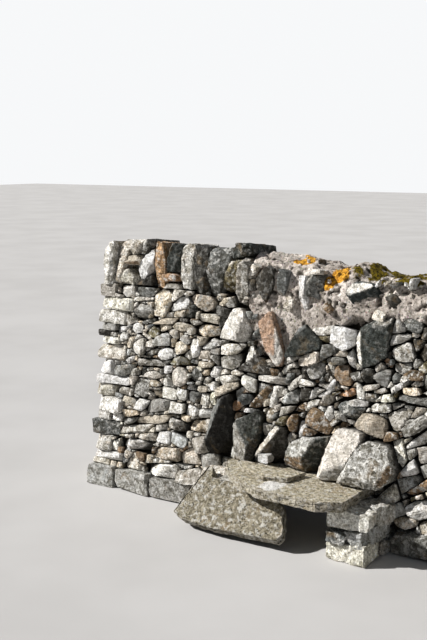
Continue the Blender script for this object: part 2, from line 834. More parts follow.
def rubble_tone(x):
    """Tone of a face stone: lighter by the gateway."""
    return dark_tone() if rng.random() < beyond(x, 1.0, 0.5) else light_tone()


def small_tone(x):
    """Tone of a small filling stone."""
    tone = rubble_tone(x)
    return "grey" if tone == "white" else tone


# Materials

class Nodes:
    """Small helper that adds and links shader nodes, for a material or for the world."""

    def __init__(self, owner):
        self.owner = owner
        owner.use_nodes = True
        self.tree = owner.node_tree
        self.tree.nodes.clear()

    def add(self, kind, inputs=None, **settings):
        """Adds a node with its settings. inputs are links or fixed values."""
        node = self.tree.nodes.new("ShaderNode" + kind)
        for key, value in settings.items():
            setattr(node, key, value)
        for key, value in (inputs or {}).items():
            if isinstance(value, bpy.types.NodeSocket):
                self.tree.links.new(value, node.inputs[key])
            else:
                node.inputs[key].default_value = value
        return node

    def attribute(self, name):
        return self.add("Attribute", attribute_name=name)

    def split(self, name):
        """The three numbers of an attribute."""
        return self.add("SeparateXYZ", {0: self.attribute(name).outputs["Vector"]}).outputs

    def noise(self, vector, scale, detail=4.0, roughness=0.55, distortion=0.0):
        return self.add("TexNoise", {"Vector": vector, "Scale": scale, "Detail": detail,
                                     "Roughness": roughness, "Distortion": distortion}).outputs[0]

    def math(self, operation, a, b=0.0, clamp=False):
        return self.add("Math", {0: a, 1: b}, operation=operation, use_clamp=clamp).outputs[0]

    def times(self, a, b, clamp=False):
        return self.math("MULTIPLY", a, b, clamp)

    def ramp(self, value, low, high, to_low=0.0, to_high=1.0):
        return self.add("MapRange", {0: value, 1: low, 2: high, 3: to_low, 4: to_high},
                        interpolation_type="SMOOTHSTEP").outputs[0]

    def stretch(self, vector, scale):
        return self.add("VectorMath", {0: vector, 1: scale}, operation="MULTIPLY").outputs[0]

    def mix(self, share, a, b, blend="MIX"):
        a, b = (c if isinstance(c, bpy.types.NodeSocket) else (*c, 1) for c in (a, b))
        return self.add("Mix", {0: share, 6: a, 7: b}, data_type="RGBA", blend_type=blend).outputs[2]

    def ramp_colour(self, value, low, high, first, last):
        """Colour that runs from first to last as a value goes from low to high."""
        return self.mix(self.ramp(value, low, high), first, last)

    def stain(self, colour, share, strength, tone):
        """A colour with another over it where share is high."""
        return self.mix(self.times(share, strength), colour, tone)

    def finish(self, colour, roughness, height, strength, distance, specular):
        """Shader whose bumps have the given height."""
        normal = self.add("Bump", {"Height": height, "Strength": strength, "Distance": distance}).outputs[0]
        shader = self.add("BsdfPrincipled", {"Base Color": colour, "Roughness": roughness, "Normal": normal,
                                             "Specular IOR Level": specular})
        self.add("OutputMaterial", {0: shader.outputs[0]})
        return self.owner


def stone_material(name, spots=1.0, grain_scale=1.0, contrast=1.0, pitted=0.4):
    """Weathered stone: mottling, bedding stripes, rust stains, pale and dark lichen, worn pale edges."""
    n = Nodes(bpy.data.materials.new(name))
    base = n.attribute("tone")
    tone, lichen = base.outputs["Color"], base.outputs["Alpha"]
    place = n.attribute("grain").outputs["Vector"]
    edge, inner, bedding = n.split("wear")
    mottle = n.noise(place, 15.0 * grain_scale, 5.0, 0.62)
    patches = n.noise(place, 38.0 * grain_scale, 4.0, 0.6, 0.5)
    speck = n.noise(place, 95.0 * grain_scale, 3.0, 0.7)
    stripes = n.noise(n.stretch(place, (7.0, 70.0, 7.0)), 1.0, 4.0, 0.6)
    clean = n.ramp(lichen, 0.0, 0.35, 0.45 * contrast, contrast)
    colour = tone
    for layer, low, high in ((mottle, (0.54, 0.52, 0.46), 1.40), (patches, (0.58, 0.56, 0.51), 1.36),
                             (speck, (0.66, 0.64, 0.60), 1.26)):
        shading = n.ramp_colour(layer, 0.35, 0.65, low, (high,) * 3)
        colour = n.mix(clean, colour, n.mix(1.0, colour, shading, "MULTIPLY"))
    colour = n.stain(colour, bedding, n.ramp(stripes, 0.42, 0.62),
                     n.mix(1.0, colour, (0.66, 0.63, 0.60), "MULTIPLY"))
    rust = n.ramp(n.noise(place, 7.5, 4.0, 0.6, 0.6), 0.54, 0.70)
    colour = n.stain(colour, rust, n.times(clean, 0.38), linear(150, 126, 92))
    pale = n.ramp(n.noise(place, 24.0, 5.0, 0.68, 0.4), 0.51, 0.60)
    pale = n.times(pale, n.ramp(tone, 0.03, 0.22, 0.3, 1.0))
    colour = n.stain(colour, pale, n.times(lichen, 1.5 * spots, True), linear(228, 226, 219))
    sooty = n.ramp(n.noise(place, 34.0, 5.0, 0.62, 0.2), 0.57, 0.66)
    colour = n.stain(colour, sooty, n.times(lichen, 1.3 * spots, True), linear(62, 58, 46))
    chipped = n.times(n.ramp(edge, 0.20, 0.60), n.ramp(mottle, 0.38, 0.58))
    colour = n.stain(colour, chipped, 0.40, linear(224, 218, 208))
    colour = n.stain(colour, n.ramp(inner, 0.05, 0.60), 0.92, linear(28, 25, 16))
    pits = n.ramp(n.noise(place, 72.0, 2.0, 0.5), 0.60, 0.70)
    colour = n.stain(colour, pits, pitted, linear(50, 46, 36))
    height = n.math("ADD", n.noise(place, 46.0, 6.0, 0.68), n.times(stripes, n.times(bedding, 1.1)))
    height = n.math("ADD", height, n.times(patches, 0.9))
    height = n.math("SUBTRACT", height, n.times(pits, 0.6))
    return n.finish(colour, n.ramp(mottle, 0.3, 0.7, 0.95, 0.78), height, 1.0, 0.017, 0.22)


def mortar_material():
    """Old gritty mortar: pinkish beige, pitted, with pebbles, grime, moss and orange lichen."""
    n = Nodes(bpy.data.materials.new("gritty_mortar"))
    place = n.attribute("grain").outputs["Vector"]
    mossy, rusty, pitted = n.split("growth")
    broad = n.noise(place, 5.0, 4.0, 0.6)
    fine = n.noise(place, 45.0, 5.0, 0.7)
    colour = n.ramp_colour(broad, 0.32, 0.68, linear(172, 163, 155), linear(216, 208, 200))
    grit = n.ramp_colour(fine, 0.35, 0.66, (0.56, 0.54, 0.50), (1.22, 1.21, 1.20))
    colour = n.mix(1.0, colour, grit, "MULTIPLY")
    pebble = n.add("TexVoronoi", {"Vector": place, "Scale": 75.0, "Randomness": 1.0})
    near = n.ramp(pebble.outputs["Distance"], 0.30, 0.42, 1.0, 0.0)
    chosen = n.ramp(n.noise(place, 30.0, 2.0), 0.50, 0.58)
    pebble_tone = n.mix(0.75, linear(150, 142, 130), pebble.outputs["Color"], "SOFT_LIGHT")
    colour = n.stain(colour, near, n.times(chosen, 0.7), pebble_tone)
    grime = n.ramp(n.noise(place, 11.0, 5.0, 0.65), 0.55, 0.70)
    colour = n.stain(colour, grime, 0.45, linear(92, 88, 76))
    patch = n.noise(place, 26.0, 5.0, 0.65)
    moss = n.ramp(n.math("ADD", mossy, n.times(patch, 0.9)), 0.85, 1.05)
    green = n.ramp_colour(n.noise(place, 70.0, 3.0), 0.35, 0.65, linear(46, 40, 12), linear(114, 98, 22))
    colour = n.mix(moss, colour, green)
    orange = n.ramp(n.math("ADD", rusty, n.times(patch, 1.4)), 1.10, 1.22)
    glow = n.ramp_colour(n.noise(place, 60.0, 3.0), 0.35, 0.65, linear(150, 100, 36), linear(232, 172, 62))
    colour = n.mix(orange, colour, glow)
    holes = n.times(n.ramp(n.noise(place, 52.0, 3.0, 0.5), 0.60, 0.68), n.math("SUBTRACT", 1.0, moss))
    holes = n.math("MAXIMUM", pitted, holes)
    colour = n.stain(colour, holes, 0.85, linear(50, 45, 37))
    height = n.math("ADD", fine, n.times(near, n.times(chosen, 0.5)))
    height = n.math("SUBTRACT", height, n.times(holes, 1.2))
    height = n.math("ADD", height, n.times(n.noise(place, 130.0, 4.0), n.math("ADD", 0.4, moss)))
    return n.finish(colour, n.ramp(fine, 0.3, 0.7, 0.96, 0.86), height, 0.9, 0.010, 0.15)


STONE_MATERIAL = stone_material("weathered_stone")
SLAB_MATERIAL = stone_material("lichened_slab", spots=0.5, grain_scale=2.6, contrast=0.9, pitted=1.0)


# Stones read by eye from the photo as outlines on the front face: tone, then distances from the gateway end
# and heights above the ground, in centimetres
OUTLINES = [
    # Under the cope stones
    ("white", (18, 175.7), (21, 169.3), (28, 164.8), (38, 167.5), (39, 175.7)),
    ("slate", (40, 174), (46, 166.7), (59, 168), (60, 175.5), (44.7, 175.7)),
    ("buff", (60, 152), (73, 152), (80, 173), (78, 175.7), (63.3, 175.7), (60.5, 169)),
    ("white", (76.5, 159), (79, 157.5), (94, 161), (97, 167), (93, 171), (87.5, 170), (79, 163)),
    ("iron", (92, 153.5), (105, 154), (105, 163), (101, 165.5), (96, 163)),
    ("pale", (95, 170), (100, 166), (110, 160), (120, 160), (125, 169), (120, 174), (114, 175.7),
     (102, 174.5)),
    ("buff", (108, 152), (127, 151), (129, 157), (122, 159.5), (109, 158.5)),
    ("buff", (124.5, 167), (131, 165.5), (140, 175.5), (130, 173)),
    ("pale", (128, 140), (146, 138.5), (158, 139), (159, 148), (152, 163), (149, 166.5), (140, 165.5),
     (129, 146)),
    # Rubble beside the gateway, from the top down
    ("pale", (31, 161.5), (45, 163), (56, 164.5), (55, 167.5), (42, 167), (32, 165.5)),
    ("grey", (40, 149.5), (44, 147), (50, 147), (56.5, 149.5), (60, 157), (56, 160), (45, 162),
     (39.5, 155)),
    ("buff", (59.5, 145.5), (73, 146), (81, 147), (87, 152.5), (72, 151.5)),
    ("buff", (81, 145), (83, 143), (94, 142), (101, 143), (102, 147), (93, 149.5), (85, 149)),
    ("pale", (97, 142.5), (99, 140), (105, 141), (104, 146.5), (97.5, 146)),
    ("buff", (105.5, 141), (118, 140), (129, 142), (127, 149.5), (113, 150), (106, 148)),
    ("white", (37, 139), (38, 137), (43, 135.5), (48, 137), (49, 143.5), (43, 145), (38, 143)),
    ("white", (20, 134), (23, 134), (28, 136), (34, 139), (30, 140.5), (21, 140)),
    ("buff", (48.5, 142), (50, 140), (55, 139.5), (57, 141.5), (50, 145)),
    ("olive", (53, 136.5), (58, 134.5), (65, 134), (69, 138), (66, 142), (62, 144), (56, 140)),
    ("pale", (74, 141), (76, 138.5), (80, 136), (85, 134.5), (87, 137), (85, 143), (78, 142.5)),
    ("grey", (62, 128.5), (64, 127.5), (79, 128), (80, 136), (76, 140), (70, 138), (64, 134)),
    ("white", (89.5, 135), (93, 133), (97, 131.5), (100.5, 134), (99, 138), (96, 140), (92, 138.5)),
    ("white", (100, 133), (101, 127), (103, 121), (108, 122.5), (110, 127), (110, 136), (106, 139),
     (101, 137)),
    ("buff", (110.5, 131), (115, 135.5), (117, 140), (107, 139.8)),
    ("white", (110.5, 130), (117, 129), (124, 131.5), (128, 137.5), (122, 140), (116, 136)),
    ("pale", (109, 121), (118, 122), (121, 127), (121, 129), (111, 128.5)),
    ("pale", (55, 125.5), (63, 126), (63.5, 131), (60, 133), (56, 130)),
    ("buff", (31, 122.5), (37, 122), (39.5, 127), (42, 133), (39, 134), (33, 129)),
    ("pale", (21, 127.5), (28, 127), (35, 130.5), (34.5, 134), (30, 136), (22, 133)),
    ("pale", (40, 119.5), (45, 118), (52, 118.5), (54, 124), (54, 131), (50, 133), (43, 129), (39.5, 124)),
    ("white", (20, 121), (25, 121.5), (30, 123), (28, 126.5), (20, 126)),
    ("grey", (54.5, 118.5), (59, 118.5), (65, 120.5), (68, 125.5), (63, 125), (57, 122)),
    ("white", (66, 121), (69, 118), (72, 116), (80, 117.5), (84, 121.5), (84, 126), (76, 127.5),
     (70, 126)),
    ("buff", (83.5, 127), (87, 122), (93, 124), (98, 128), (94, 133), (88, 134), (84, 131)),
    ("white", (28, 119.5), (29.5, 114.5), (33, 115), (38, 119.5), (36, 121.5), (30, 121.5)),
    ("white", (32.5, 112), (35, 108.5), (38, 109), (42, 112), (43, 117), (38, 115.5)),
    ("pale", (44, 107.5), (49, 108.5), (50, 113), (48, 117), (44, 114)),
    ("pale", (50.5, 108), (53, 106.5), (60, 107), (69, 108), (69, 113), (66, 118), (57, 118), (51, 114)),
    ("white", (70, 110), (75, 111.5), (77, 114), (71, 114.5)),
    ("white", (71, 107.5), (74, 106), (78, 105), (82, 107), (83, 112.5), (75, 112)),
    ("olive", (79, 114.5), (82, 113.5), (90, 114), (101, 114.5), (103, 117.5), (98, 119.5), (91, 121.5),
     (84, 119.5)),
    ("slate", (100, 117.5), (103, 116), (108, 116), (107, 119.5), (102, 120)),
    ("buff", (108.5, 115.5), (113, 114.5), (120, 115), (124, 118.5), (117, 120), (109, 119.5)),
    ("pale", (82, 104), (86, 98), (94, 96.5), (100, 101), (99, 107), (94, 112.5), (88, 113), (83, 109)),
    ("slate", (101, 104), (103, 102), (108, 102.5), (113, 107), (111, 112.5), (106, 115), (102, 110)),
    ("buff", (113.5, 109), (116, 107.5), (120, 110), (119, 114.5), (114, 113)),
    ("white", (120.5, 110), (121, 107.5), (124, 107), (129, 110), (131, 116), (127, 118.5), (122, 116)),
    ("pale", (113.5, 101), (116, 100.5), (119, 102), (121, 105), (119, 108), (114, 106)),
    ("white", (122, 99), (125, 97.5), (130, 98.5), (130, 103), (126, 105), (122, 103.5)),
    ("grey", (38, 101), (41, 99), (47, 100), (49, 104), (47, 107), (42, 105.5)),
    ("pale", (54, 101), (57, 99), (66, 99), (72, 101.5), (70, 106), (62, 106), (56, 104.5)),
    ("pale", (73, 96), (76, 94.5), (82, 95), (85, 98), (81, 102.5), (74, 101.5)),
    ("white", (98.5, 95), (103, 94.5), (106, 97.5), (104, 99.5), (99, 98.5)),
    ("buff", (109, 95), (114, 94), (120, 95.5), (120, 99), (115, 100), (110, 99)),
    # Middle, around the pointed red stone
    ("pale", (151, 133), (151.5, 126), (153, 121), (160, 127), (168, 131), (160, 137), (155, 138)),
    ("dark", (147, 117.5), (157, 113), (166, 110.5), (177, 110), (179, 114), (179, 122), (172, 129),
     (165, 129.5),
     (155, 123.5)),
    ("pale", (130, 127), (139, 127.5), (147, 130), (151, 134), (148, 137.5), (137, 137), (130, 134.5)),
    ("grey", (130.5, 116.5), (142, 116), (149, 119), (151, 126), (150, 131), (141, 127), (130, 125.5)),
    ("brown", (178, 122), (181, 114), (184, 115), (187, 122)),
    ("slate", (159, 162), (159, 158), (164, 158), (164, 163)),
    ("slate", (158, 141), (159, 137), (164, 138), (164, 142)),
    ("slate", (164, 135), (166, 130), (170, 131), (169, 137), (166, 138)),
    ("slate", (177, 163), (178, 156), (185, 155), (186, 162), (182, 165)),
    ("pale", (187.5, 120), (189.5, 118), (193, 123), (198.5, 126), (198, 128.5), (190, 125)),
    ("dark", (189, 118), (192, 113), (205, 118), (203, 124), (196, 124)),
    ("pale", (201, 131), (203, 126.5), (214, 128), (220, 131), (221.5, 138.5), (218, 139.5), (205, 134)),
    ("grey", (209, 127), (210, 122), (215, 117.5), (222, 119), (226.5, 125), (225, 131), (215, 132)),
    # Under the mortared cap
    ("white", (208, 152), (212, 150), (231, 153), (230, 161), (215, 157)),
    ("olive", (208, 147.5), (218, 145.5), (231, 147), (230, 152.3), (213, 150)),
    ("white", (230.5, 160), (231, 147), (243, 142), (247, 146), (255, 150), (256, 153), (253, 158),
     (242, 160)),
    ("white", (244, 139), (246, 133), (250, 127.5), (253, 128.5), (249, 140), (247.5, 145.5)),
    ("slate", (231, 135), (234, 131), (240, 131), (243, 133), (242, 137), (233, 137)),
    ("brown", (234, 130), (234.5, 122), (240, 117), (248, 116), (250, 120), (244, 133)),
    ("pale", (226, 134), (230, 128), (233, 121), (235, 122), (234, 128), (229, 136)),
    ("dark", (225.5, 120), (226, 117), (229, 117), (231.5, 126), (229, 126)),
    ("dark", (256.5, 128), (260, 120), (266, 121), (269, 126), (266, 132), (258.5, 131.5)),
    ("grey", (267, 126), (274, 120), (278, 119), (280, 124), (281, 132), (277, 133), (270, 129)),
    ("slate", (281, 126), (283, 123), (287, 124), (288, 129), (283, 131)),
    ("white", (280, 119), (282, 116), (285, 119), (293, 124), (294, 126), (284, 121)),
    ("buff", (288, 119), (290, 115), (298, 114), (305, 118), (302, 122.5), (290, 121)),
    ("brown", (290, 130), (294, 127), (305, 127), (307, 133), (297, 135)),
    ("white", (275, 157), (275.5, 150), (278, 149.5), (285, 152), (294, 157), (293, 160.5), (278, 158)),
    ("grey", (279, 142), (285, 138.5), (297, 140), (298.5, 145), (295, 153), (290, 154), (280, 149)),
    ("rust", (272, 139), (277, 133.5), (279, 133), (280, 138), (276, 141)),
    ("slate", (285, 170), (292, 162), (300, 160), (303, 168), (295, 171.5)),
    ("dark", (300, 157), (308, 156), (309, 165), (303, 166)),
    # Long leaning stones above the boulders
    ("white", (150.5, 109), (154, 104), (160, 100.5), (166, 100.5), (172, 104), (175, 109), (170, 110),
     (160, 111.5),
     (153, 114)),
    ("pale", (130, 101), (139, 106), (149, 110), (146, 112), (137, 111.5), (130, 110)),
    ("buff", (131, 93), (140, 97), (150, 103), (150, 108), (139, 105), (130, 100)),
    ("brown", (161.5, 89), (168, 88.5), (172, 95), (180, 105.5), (183, 111), (178, 108.5), (170, 100)),
    ("pale", (181, 100), (186, 99), (190, 101), (190, 110), (189, 119.5), (187, 119.5), (182, 109)),
    ("pale", (171, 86), (173, 84), (176, 87), (176, 91), (172, 89.5)),
    ("grey", (188.5, 97), (192, 95), (203, 97), (206, 101), (205, 110), (198, 103.5)),
    ("dark", (206.5, 110), (206.5, 100), (208, 99.5), (213, 101), (217, 110), (212, 111)),
    ("pale", (189, 87), (190, 85.5), (194, 87), (199, 90), (203, 95.5), (196, 94.5), (189.5, 93)),
    ("brown", (201, 91.5), (203, 90.5), (207, 91), (211, 94), (211, 98), (208, 99), (204, 97)),
    ("olive", (186, 78), (191, 77.5), (196, 80), (198, 87), (195, 88), (188, 83)),
    ("white", (221.5, 103.5), (226, 104), (231, 107.5), (233, 111.5), (227, 110), (222, 107)),
    ("white", (212, 103), (215, 102), (220, 105), (222, 112), (219, 113), (216, 109)),
    ("white", (228, 111), (231, 109.5), (234, 111), (236.5, 118), (235, 121), (232, 117)),
    ("pale", (205, 113), (210, 112), (217, 112), (219, 114.5), (212, 117.5), (206, 117)),
    ("pale", (193, 108), (197, 105.5), (203, 110.5), (209, 118.5), (208, 121.5), (199, 115)),
    ("slate", (190.5, 110), (193, 110), (198, 116), (200, 121), (194, 120), (190.5, 116)),
    ("rust", (237, 108), (246, 108), (253, 110), (252, 115.5), (247, 113.5)),
    ("dark", (235.5, 111), (243, 114), (237.5, 118.5)),
    # Above and between the boulders
    ("rust", (143, 82), (148, 83), (158, 92), (156, 95), (147, 93), (141.5, 88)),
    ("slate", (151, 94), (156, 89), (162, 92), (165, 97), (161, 99.5), (153, 98.5)),
    ("white", (155, 84), (165, 84.5), (166, 88), (157, 87.5)),
    ("buff", (177, 79), (182, 78), (184, 90), (179, 92), (175.5, 86)),
    ("white", (179, 92), (185, 91), (186, 102), (180, 103)),
    ("brown", (197, 79), (199, 76), (204, 74), (206, 83), (206, 90), (202, 90), (197.5, 85)),
    ("white", (206, 71), (212, 72), (213.3, 85), (210, 86.7), (207, 84)),
    ("brown", (210.7, 86.7), (218.7, 80), (232.7, 77.3), (236, 83.3), (227.3, 93.3), (218.7, 96.7),
     (214.7, 94)),
    ("white", (228, 92), (233, 87), (237, 92), (234, 100), (230, 99)),
    ("grey", (223, 99), (229, 98), (236, 104), (234, 109), (226, 107)),
    ("slate", (238.7, 99.3), (242, 96), (255.3, 90.7), (262.7, 102.7), (245.3, 105.3), (240.7, 104)),
    ("brown", (240, 87), (243, 82), (249, 83), (250, 88), (243, 89.5)),
    ("white", (247.3, 106), (250, 102), (264, 103), (264, 107), (253, 108)),
    ("buff", (254, 84), (262, 78.5), (278, 78), (281, 90), (279, 96), (270, 99), (261, 98.7), (255, 89)),
    ("grey", (278.7, 99.3), (284, 88.7), (290, 88.7), (299, 105), (291.3, 107.3), (284.7, 103.3)),
    ("pale", (280, 75), (288, 71), (295, 64), (298, 70), (293, 84.7), (285, 81)),
    ("dark", (279, 71), (286, 69), (288.5, 74), (281, 76)),
    ("pale", (279.3, 64), (286, 60), (291, 62), (289, 67), (281, 67)),
    ("slate", (278, 56), (284, 53), (285, 60), (279, 61)),
]

# Further stones, read as blocks, in metres: distance, height, width, height of the stone, tilt in degrees
# and tone
BLOCKS = [
    (0.84, 0.89, 0.18, 0.10, 10, "pale"), (0.96, 0.89, 0.12, 0.10, 0, "pale"),
    (1.07, 0.88, 0.09, 0.10, 0, "slate"), (1.17, 0.88, 0.12, 0.09, 0, "pale"),
    (0.93, 0.79, 0.16, 0.09, 0, "pale"), (1.06, 0.79, 0.11, 0.08, 0, "white"),
    (1.27, 0.91, 0.14, 0.09, 20, "pale"), (1.17, 0.78, 0.12, 0.11, 0, "white"),
    (1.11, 0.68, 0.13, 0.11, 0, "buff"), (1.64, 1.45, 0.07, 0.12, -10, "slate"),
    (1.68, 0.86, 0.07, 0.10, 10, "slate"), (2.56, 1.14, 0.10, 0.10, 0, "white"),
    (2.65, 1.11, 0.09, 0.08, 0, "slate"), (2.79, 1.12, 0.18, 0.07, 5, "pale"),
    (2.74, 1.04, 0.12, 0.06, 5, "pale"), (2.62, 1.18, 0.16, 0.05, 10, "pale"),
    (2.92, 0.93, 0.14, 0.10, 35, "grey"), (2.95, 1.10, 0.14, 0.07, 10, "brown"),
]

# Quoins of the gateway head from the top down: height, length along the wall, tone
GATEWAY_QUOINS = [(0.115, 0.175, "grey"), (0.110, 0.38, "pale"), (0.120, 0.29, "pale"),
                  (0.060, 0.21, "grey"), (0.055, 0.14, "dark"), (0.060, 0.24, "pale")]

# Quoins at both ends

SIDES = {"front": FRONT, "back": BACK}
# Least and most of the quoins' sizes, in metres: their height, the long and the short ones' length along the
# wall, that of the ones between them, and their width across it
QUOIN_HEIGHT = (0.055, 0.135)
LONG_QUOIN = (0.26, 0.38)
SHORT_QUOIN = (0.13, 0.22)
MIDDLE_QUOIN = (0.18, 0.30)
QUOIN_WIDTH = (0.19, 0.27)
QUOIN_STEP = 0.025
# A last course that would be lower than this joins the one above
LEAST_COURSE = 0.045


def end_stack(piece, at_start, known=()):
    """Lays one end's quoins from the cope bed down, three to a course: one in each face and one between.
    Gives the outlines of those in the faces."""
    outlines = {"front": [], "back": []}
    known = list(known)
    tone_of = light_tone if at_start else dark_tone
    top = BED
    turn = 0
    while top > FOOTING_H + 0.01:
        height = rng.uniform(*QUOIN_HEIGHT)
        lengths = [rng.uniform(*LONG_QUOIN), rng.uniform(*SHORT_QUOIN)]
        tones = [tone_of() for _ in range(3)]
        if turn % 2:
            lengths = lengths[::-1]
        if known:
            height, lengths[0], tones[0] = known.pop(0)
        low = top - height if top - height > FOOTING_H + LEAST_COURSE else FOOTING_H
        half = half_w((low + top) / 2)
        widths = [rng.uniform(*QUOIN_WIDTH), rng.uniform(*QUOIN_WIDTH)]
        lengths.append(rng.uniform(*MIDDLE_QUOIN))
        for k, length in enumerate(lengths):
            step = rng.uniform(0.0, QUOIN_STEP)
            x0, x1 = (X0 + step, X0 + length) if at_start else (X1 - length, X1 - step)
            if k == 2:
                box_stone(piece, "block", (x0, -half + widths[0] + 0.004, low + 0.002),
                          (x1, half - widths[1] - 0.004, top - 0.005), shade(tones[k]), skew=0.05,
                          cut_depth=0.11)
                continue
            side, panel = list(SIDES.items())[k]
            outline = panel.rect(x0, x1, low, top)
            outlines[side].append(outline)
            face_stone(panel, roughened(outline, 0.02, 0.12, 2), tones[k], piece, depth=widths[k],
                       grid="large" if at_start else "medium", front=rng.uniform(0.004, 0.02), taper=0.01,
                       chips=0.08, facets=0.3, joint=0.0, split=0.15, wear=50)
        top = low
        turn += 1
    return outlines


gateway = end_stack("gateway_quoins", True, GATEWAY_QUOINS)
far_end = end_stack("far_quoins", False)
stone_piece("gateway_quoins", "stone_pale", "head_gateway")
stone_piece("far_quoins", "stone_grey", "head_far")

# Large named stones, each in the place of its node: tone, lichen, slot, and the facets of its front
NAMED = {
    "boulder_dark_slab": ("black", 0.12, "stone_dark", [
        (0.7, -0.2, 0, 0), (-0.9, 0.3, -0.70, 0.2, "slate")]),
    "boulder_grey_block": ("iron", 0.25, "stone_grey", [
        (0.2, -0.05, 0, 0), (-0.3, 0.9, 0, 0.70, "slate"), (-0.2, -0.1, 0, -0.70, "grey"),
        (0.9, -0.3, 0.55, 0, "dark")]),
    "boulder_leaning": ("dark", 0.2, "stone_grey", [(0.5, -0.35, 0, 0), (-0.7, 0.6, -0.30, 0.14, "pale")]),
    "boulder_rusty": ("grey", 0.5, "stone_rusty", [
        (-0.2, 0.5, 0, 0), (0.8, -0.7, 0.15, -0.15, "iron"), (-0.3, -0.6, -0.25, -0.1, "brown")]),
    "boulder_white": ("pale", 0.1, "stone_white", [(-0.12, 0.14, 0, 0), (0.3, -0.5, 0.1, -0.7, "grey")]),
    "boulder_speckled": ("grey", 0.9, "stone_rusty", [
        (0.2, 0.05, 0, 0), (-0.1, 0.6, 0, 0.55, "tan"), (0.7, 0, 0.7, 0, "brown")]),
    "stone_red_pointed": ("red", 0.1, "stone_rusty", [
        (0.12, 0.05, 0, 0), (0.45, 0, 0.40, 0, "pale"), (-0.1, -0.3, 0, -0.5, "pale")]),
    "stone_dark_triangle": ("iron", 0.15, "stone_dark", [
        (0.1, -0.15, 0, 0), (-0.3, 0.7, -0.45, 0.5, "slate")]),
    "stone_blue_grey": ("iron", 0.3, "stone_dark", [
        (0.3, -0.15, 0, 0), (-0.8, -0.2, -0.6, -0.2, "white"), (-0.1, 0.9, 0, 0.75, "grey")]),
}
for node, (tone, lichen, slot, faces) in NAMED.items():
    name = "rock_" + node
    points = islands(node)[0][1]
    out = (-points[:, 1] - half_w(points[:, 2])).max()
    large_stone(FRONT, outline_of(node), name, tone, lichen, faces, front=out, depth=0.175, taper=0.04,
                chips=0.04, facets=0.15, spread=0.0, joint=0, split=0, shadowed=1.0, bedding=0.1)
    stone_piece(name, slot, node)

# Cope stones, read from the photo in centimetres like the outlines above: tone, lichen, facets of the front,
# corners. Some nodes are shown as a few stones, and the first one's tone gives the slot.
COPES = [
    [("pale", 0.5, [(-0.05, 0.1, 0, 0), (0.9, 0, 0.6, 0, "slate")],
      (16.8, 176), (23.0, 176), (29.5, 200), (32.8, 212), (31, 216), (20.5, 215), (16.8, 209))],
    [("buff", 0.3, [(0.0, 0.1, 0, 0)], (21.7, 178), (36.5, 176.5), (37, 184), (30, 191), (25, 188)),
     ("buff", 0.1, [(-0.1, 0.2, 0, 0), (0, -0.8, 0, -0.4, "brown")],
      (24, 193), (42.5, 193), (43, 199), (38, 202.5), (26, 201)),
     ("pale", 0.4, [(0.0, 0.1, 0, 0)], (29, 203.5), (35, 202), (45, 213), (45, 216.5), (30, 216))],
    [("white", 0.02, [(-0.2, 0.3, 0, 0), (0.4, -0.9, 0.2, -0.72, "dark")],
      (38.7, 190), (40, 181), (44.7, 181), (54, 187.3), (57.3, 193.3), (57.5, 204), (55.5, 209),
      (41, 196)),
     ("slate", 0.5, [(0.2, 0, 0, 0), (-0.6, 0.2, -0.5, 0, "pale")],
      (43.5, 203.5), (46, 203.5), (55, 211), (53.5, 217.5), (46, 216.5)),
     ("dark", 0.2, [(0.2, -0.1, 0, 0)], (41, 177), (56.5, 177), (56.5, 185), (46, 180))],
    [("tan", 0.3, [(0.12, 0.05, 0, 0), (0.5, 0.1, 0.8, 0.3, "brown")],
      (58.5, 180), (60, 176), (69, 176), (70.5, 190), (70.5, 200), (67, 215), (57.8, 215), (57.5, 209))],
    [("iron", 0.2, [(0.2, -0.1, 0, 0), (-0.6, 0.6, -0.6, 0.6, "slate")],
      (72, 190), (86.5, 190), (87, 213), (80, 215.5), (73, 214.5), (71.5, 208)),
     ("rust", 0.5, [(0.0, 0.2, 0, 0)], (65, 189), (70, 181), (82, 182), (85, 187), (80, 189.6)),
     ("grey", 0.3, [(0.1, 0.1, 0, 0)], (70, 176), (86, 176.5), (84, 181), (72, 180.5))],
    [("pale", 0.3, [(0.05, 0.0, 0, 0), (0.6, 0, 0.3, 0, "grey")],
      (87.5, 182), (90, 177), (98.5, 176.5), (100, 190), (101, 206), (98.5, 215), (91, 216), (87.7, 214))],
    [("dark", 0.35, [(0.1, 0, 0, 0), (0.5, -0.8, 0.2, -0.6, "black"), (-0.5, 0.5, -0.3, 0.85, "olive")],
      (101, 174), (112, 173.5), (114.2, 206), (112, 214.5), (106, 210.5), (102, 206), (100.6, 190))],
    [("slate", 0.5, [(0.3, -0.05, 0, 0), (0.4, -0.6, 0.2, -0.5, "iron")],
      (114.6, 176), (117, 173), (122.5, 173.3), (133.3, 205), (133.4, 213.5), (128, 215.5), (118, 213.5),
      (114.8, 210))],
    [("olive", 0.4, [(0.35, -0.1, 0, 0), (-0.6, 0.6, -0.35, 0.25, "pale")],
      (124.5, 180), (128, 177), (139.8, 177), (141.5, 193), (145, 205), (134, 203))],
    [("grey", 0.3, [(0.15, 0.0, 0, 0)], (140.6, 179), (143, 168.5), (150, 168), (153, 206), (148, 207.5),
      (142, 193)),
     ("iron", 0.6, [(0.0, 0.2, 0, 0), (-0.6, 0.5, -0.55, 0.3, "grey")],
      (134, 208), (135, 204.5), (150, 208), (153.5, 210), (153, 216), (150, 218.5), (138, 218))],
]
COPE_SLOTS = {"white": "stone_white", "pale": "stone_pale", "buff": "stone_pale", "tan": "stone_rusty",
              "grey": "stone_grey", "olive": "stone_grey", "slate": "stone_dark", "dark": "stone_dark",
              "iron": "stone_dark"}
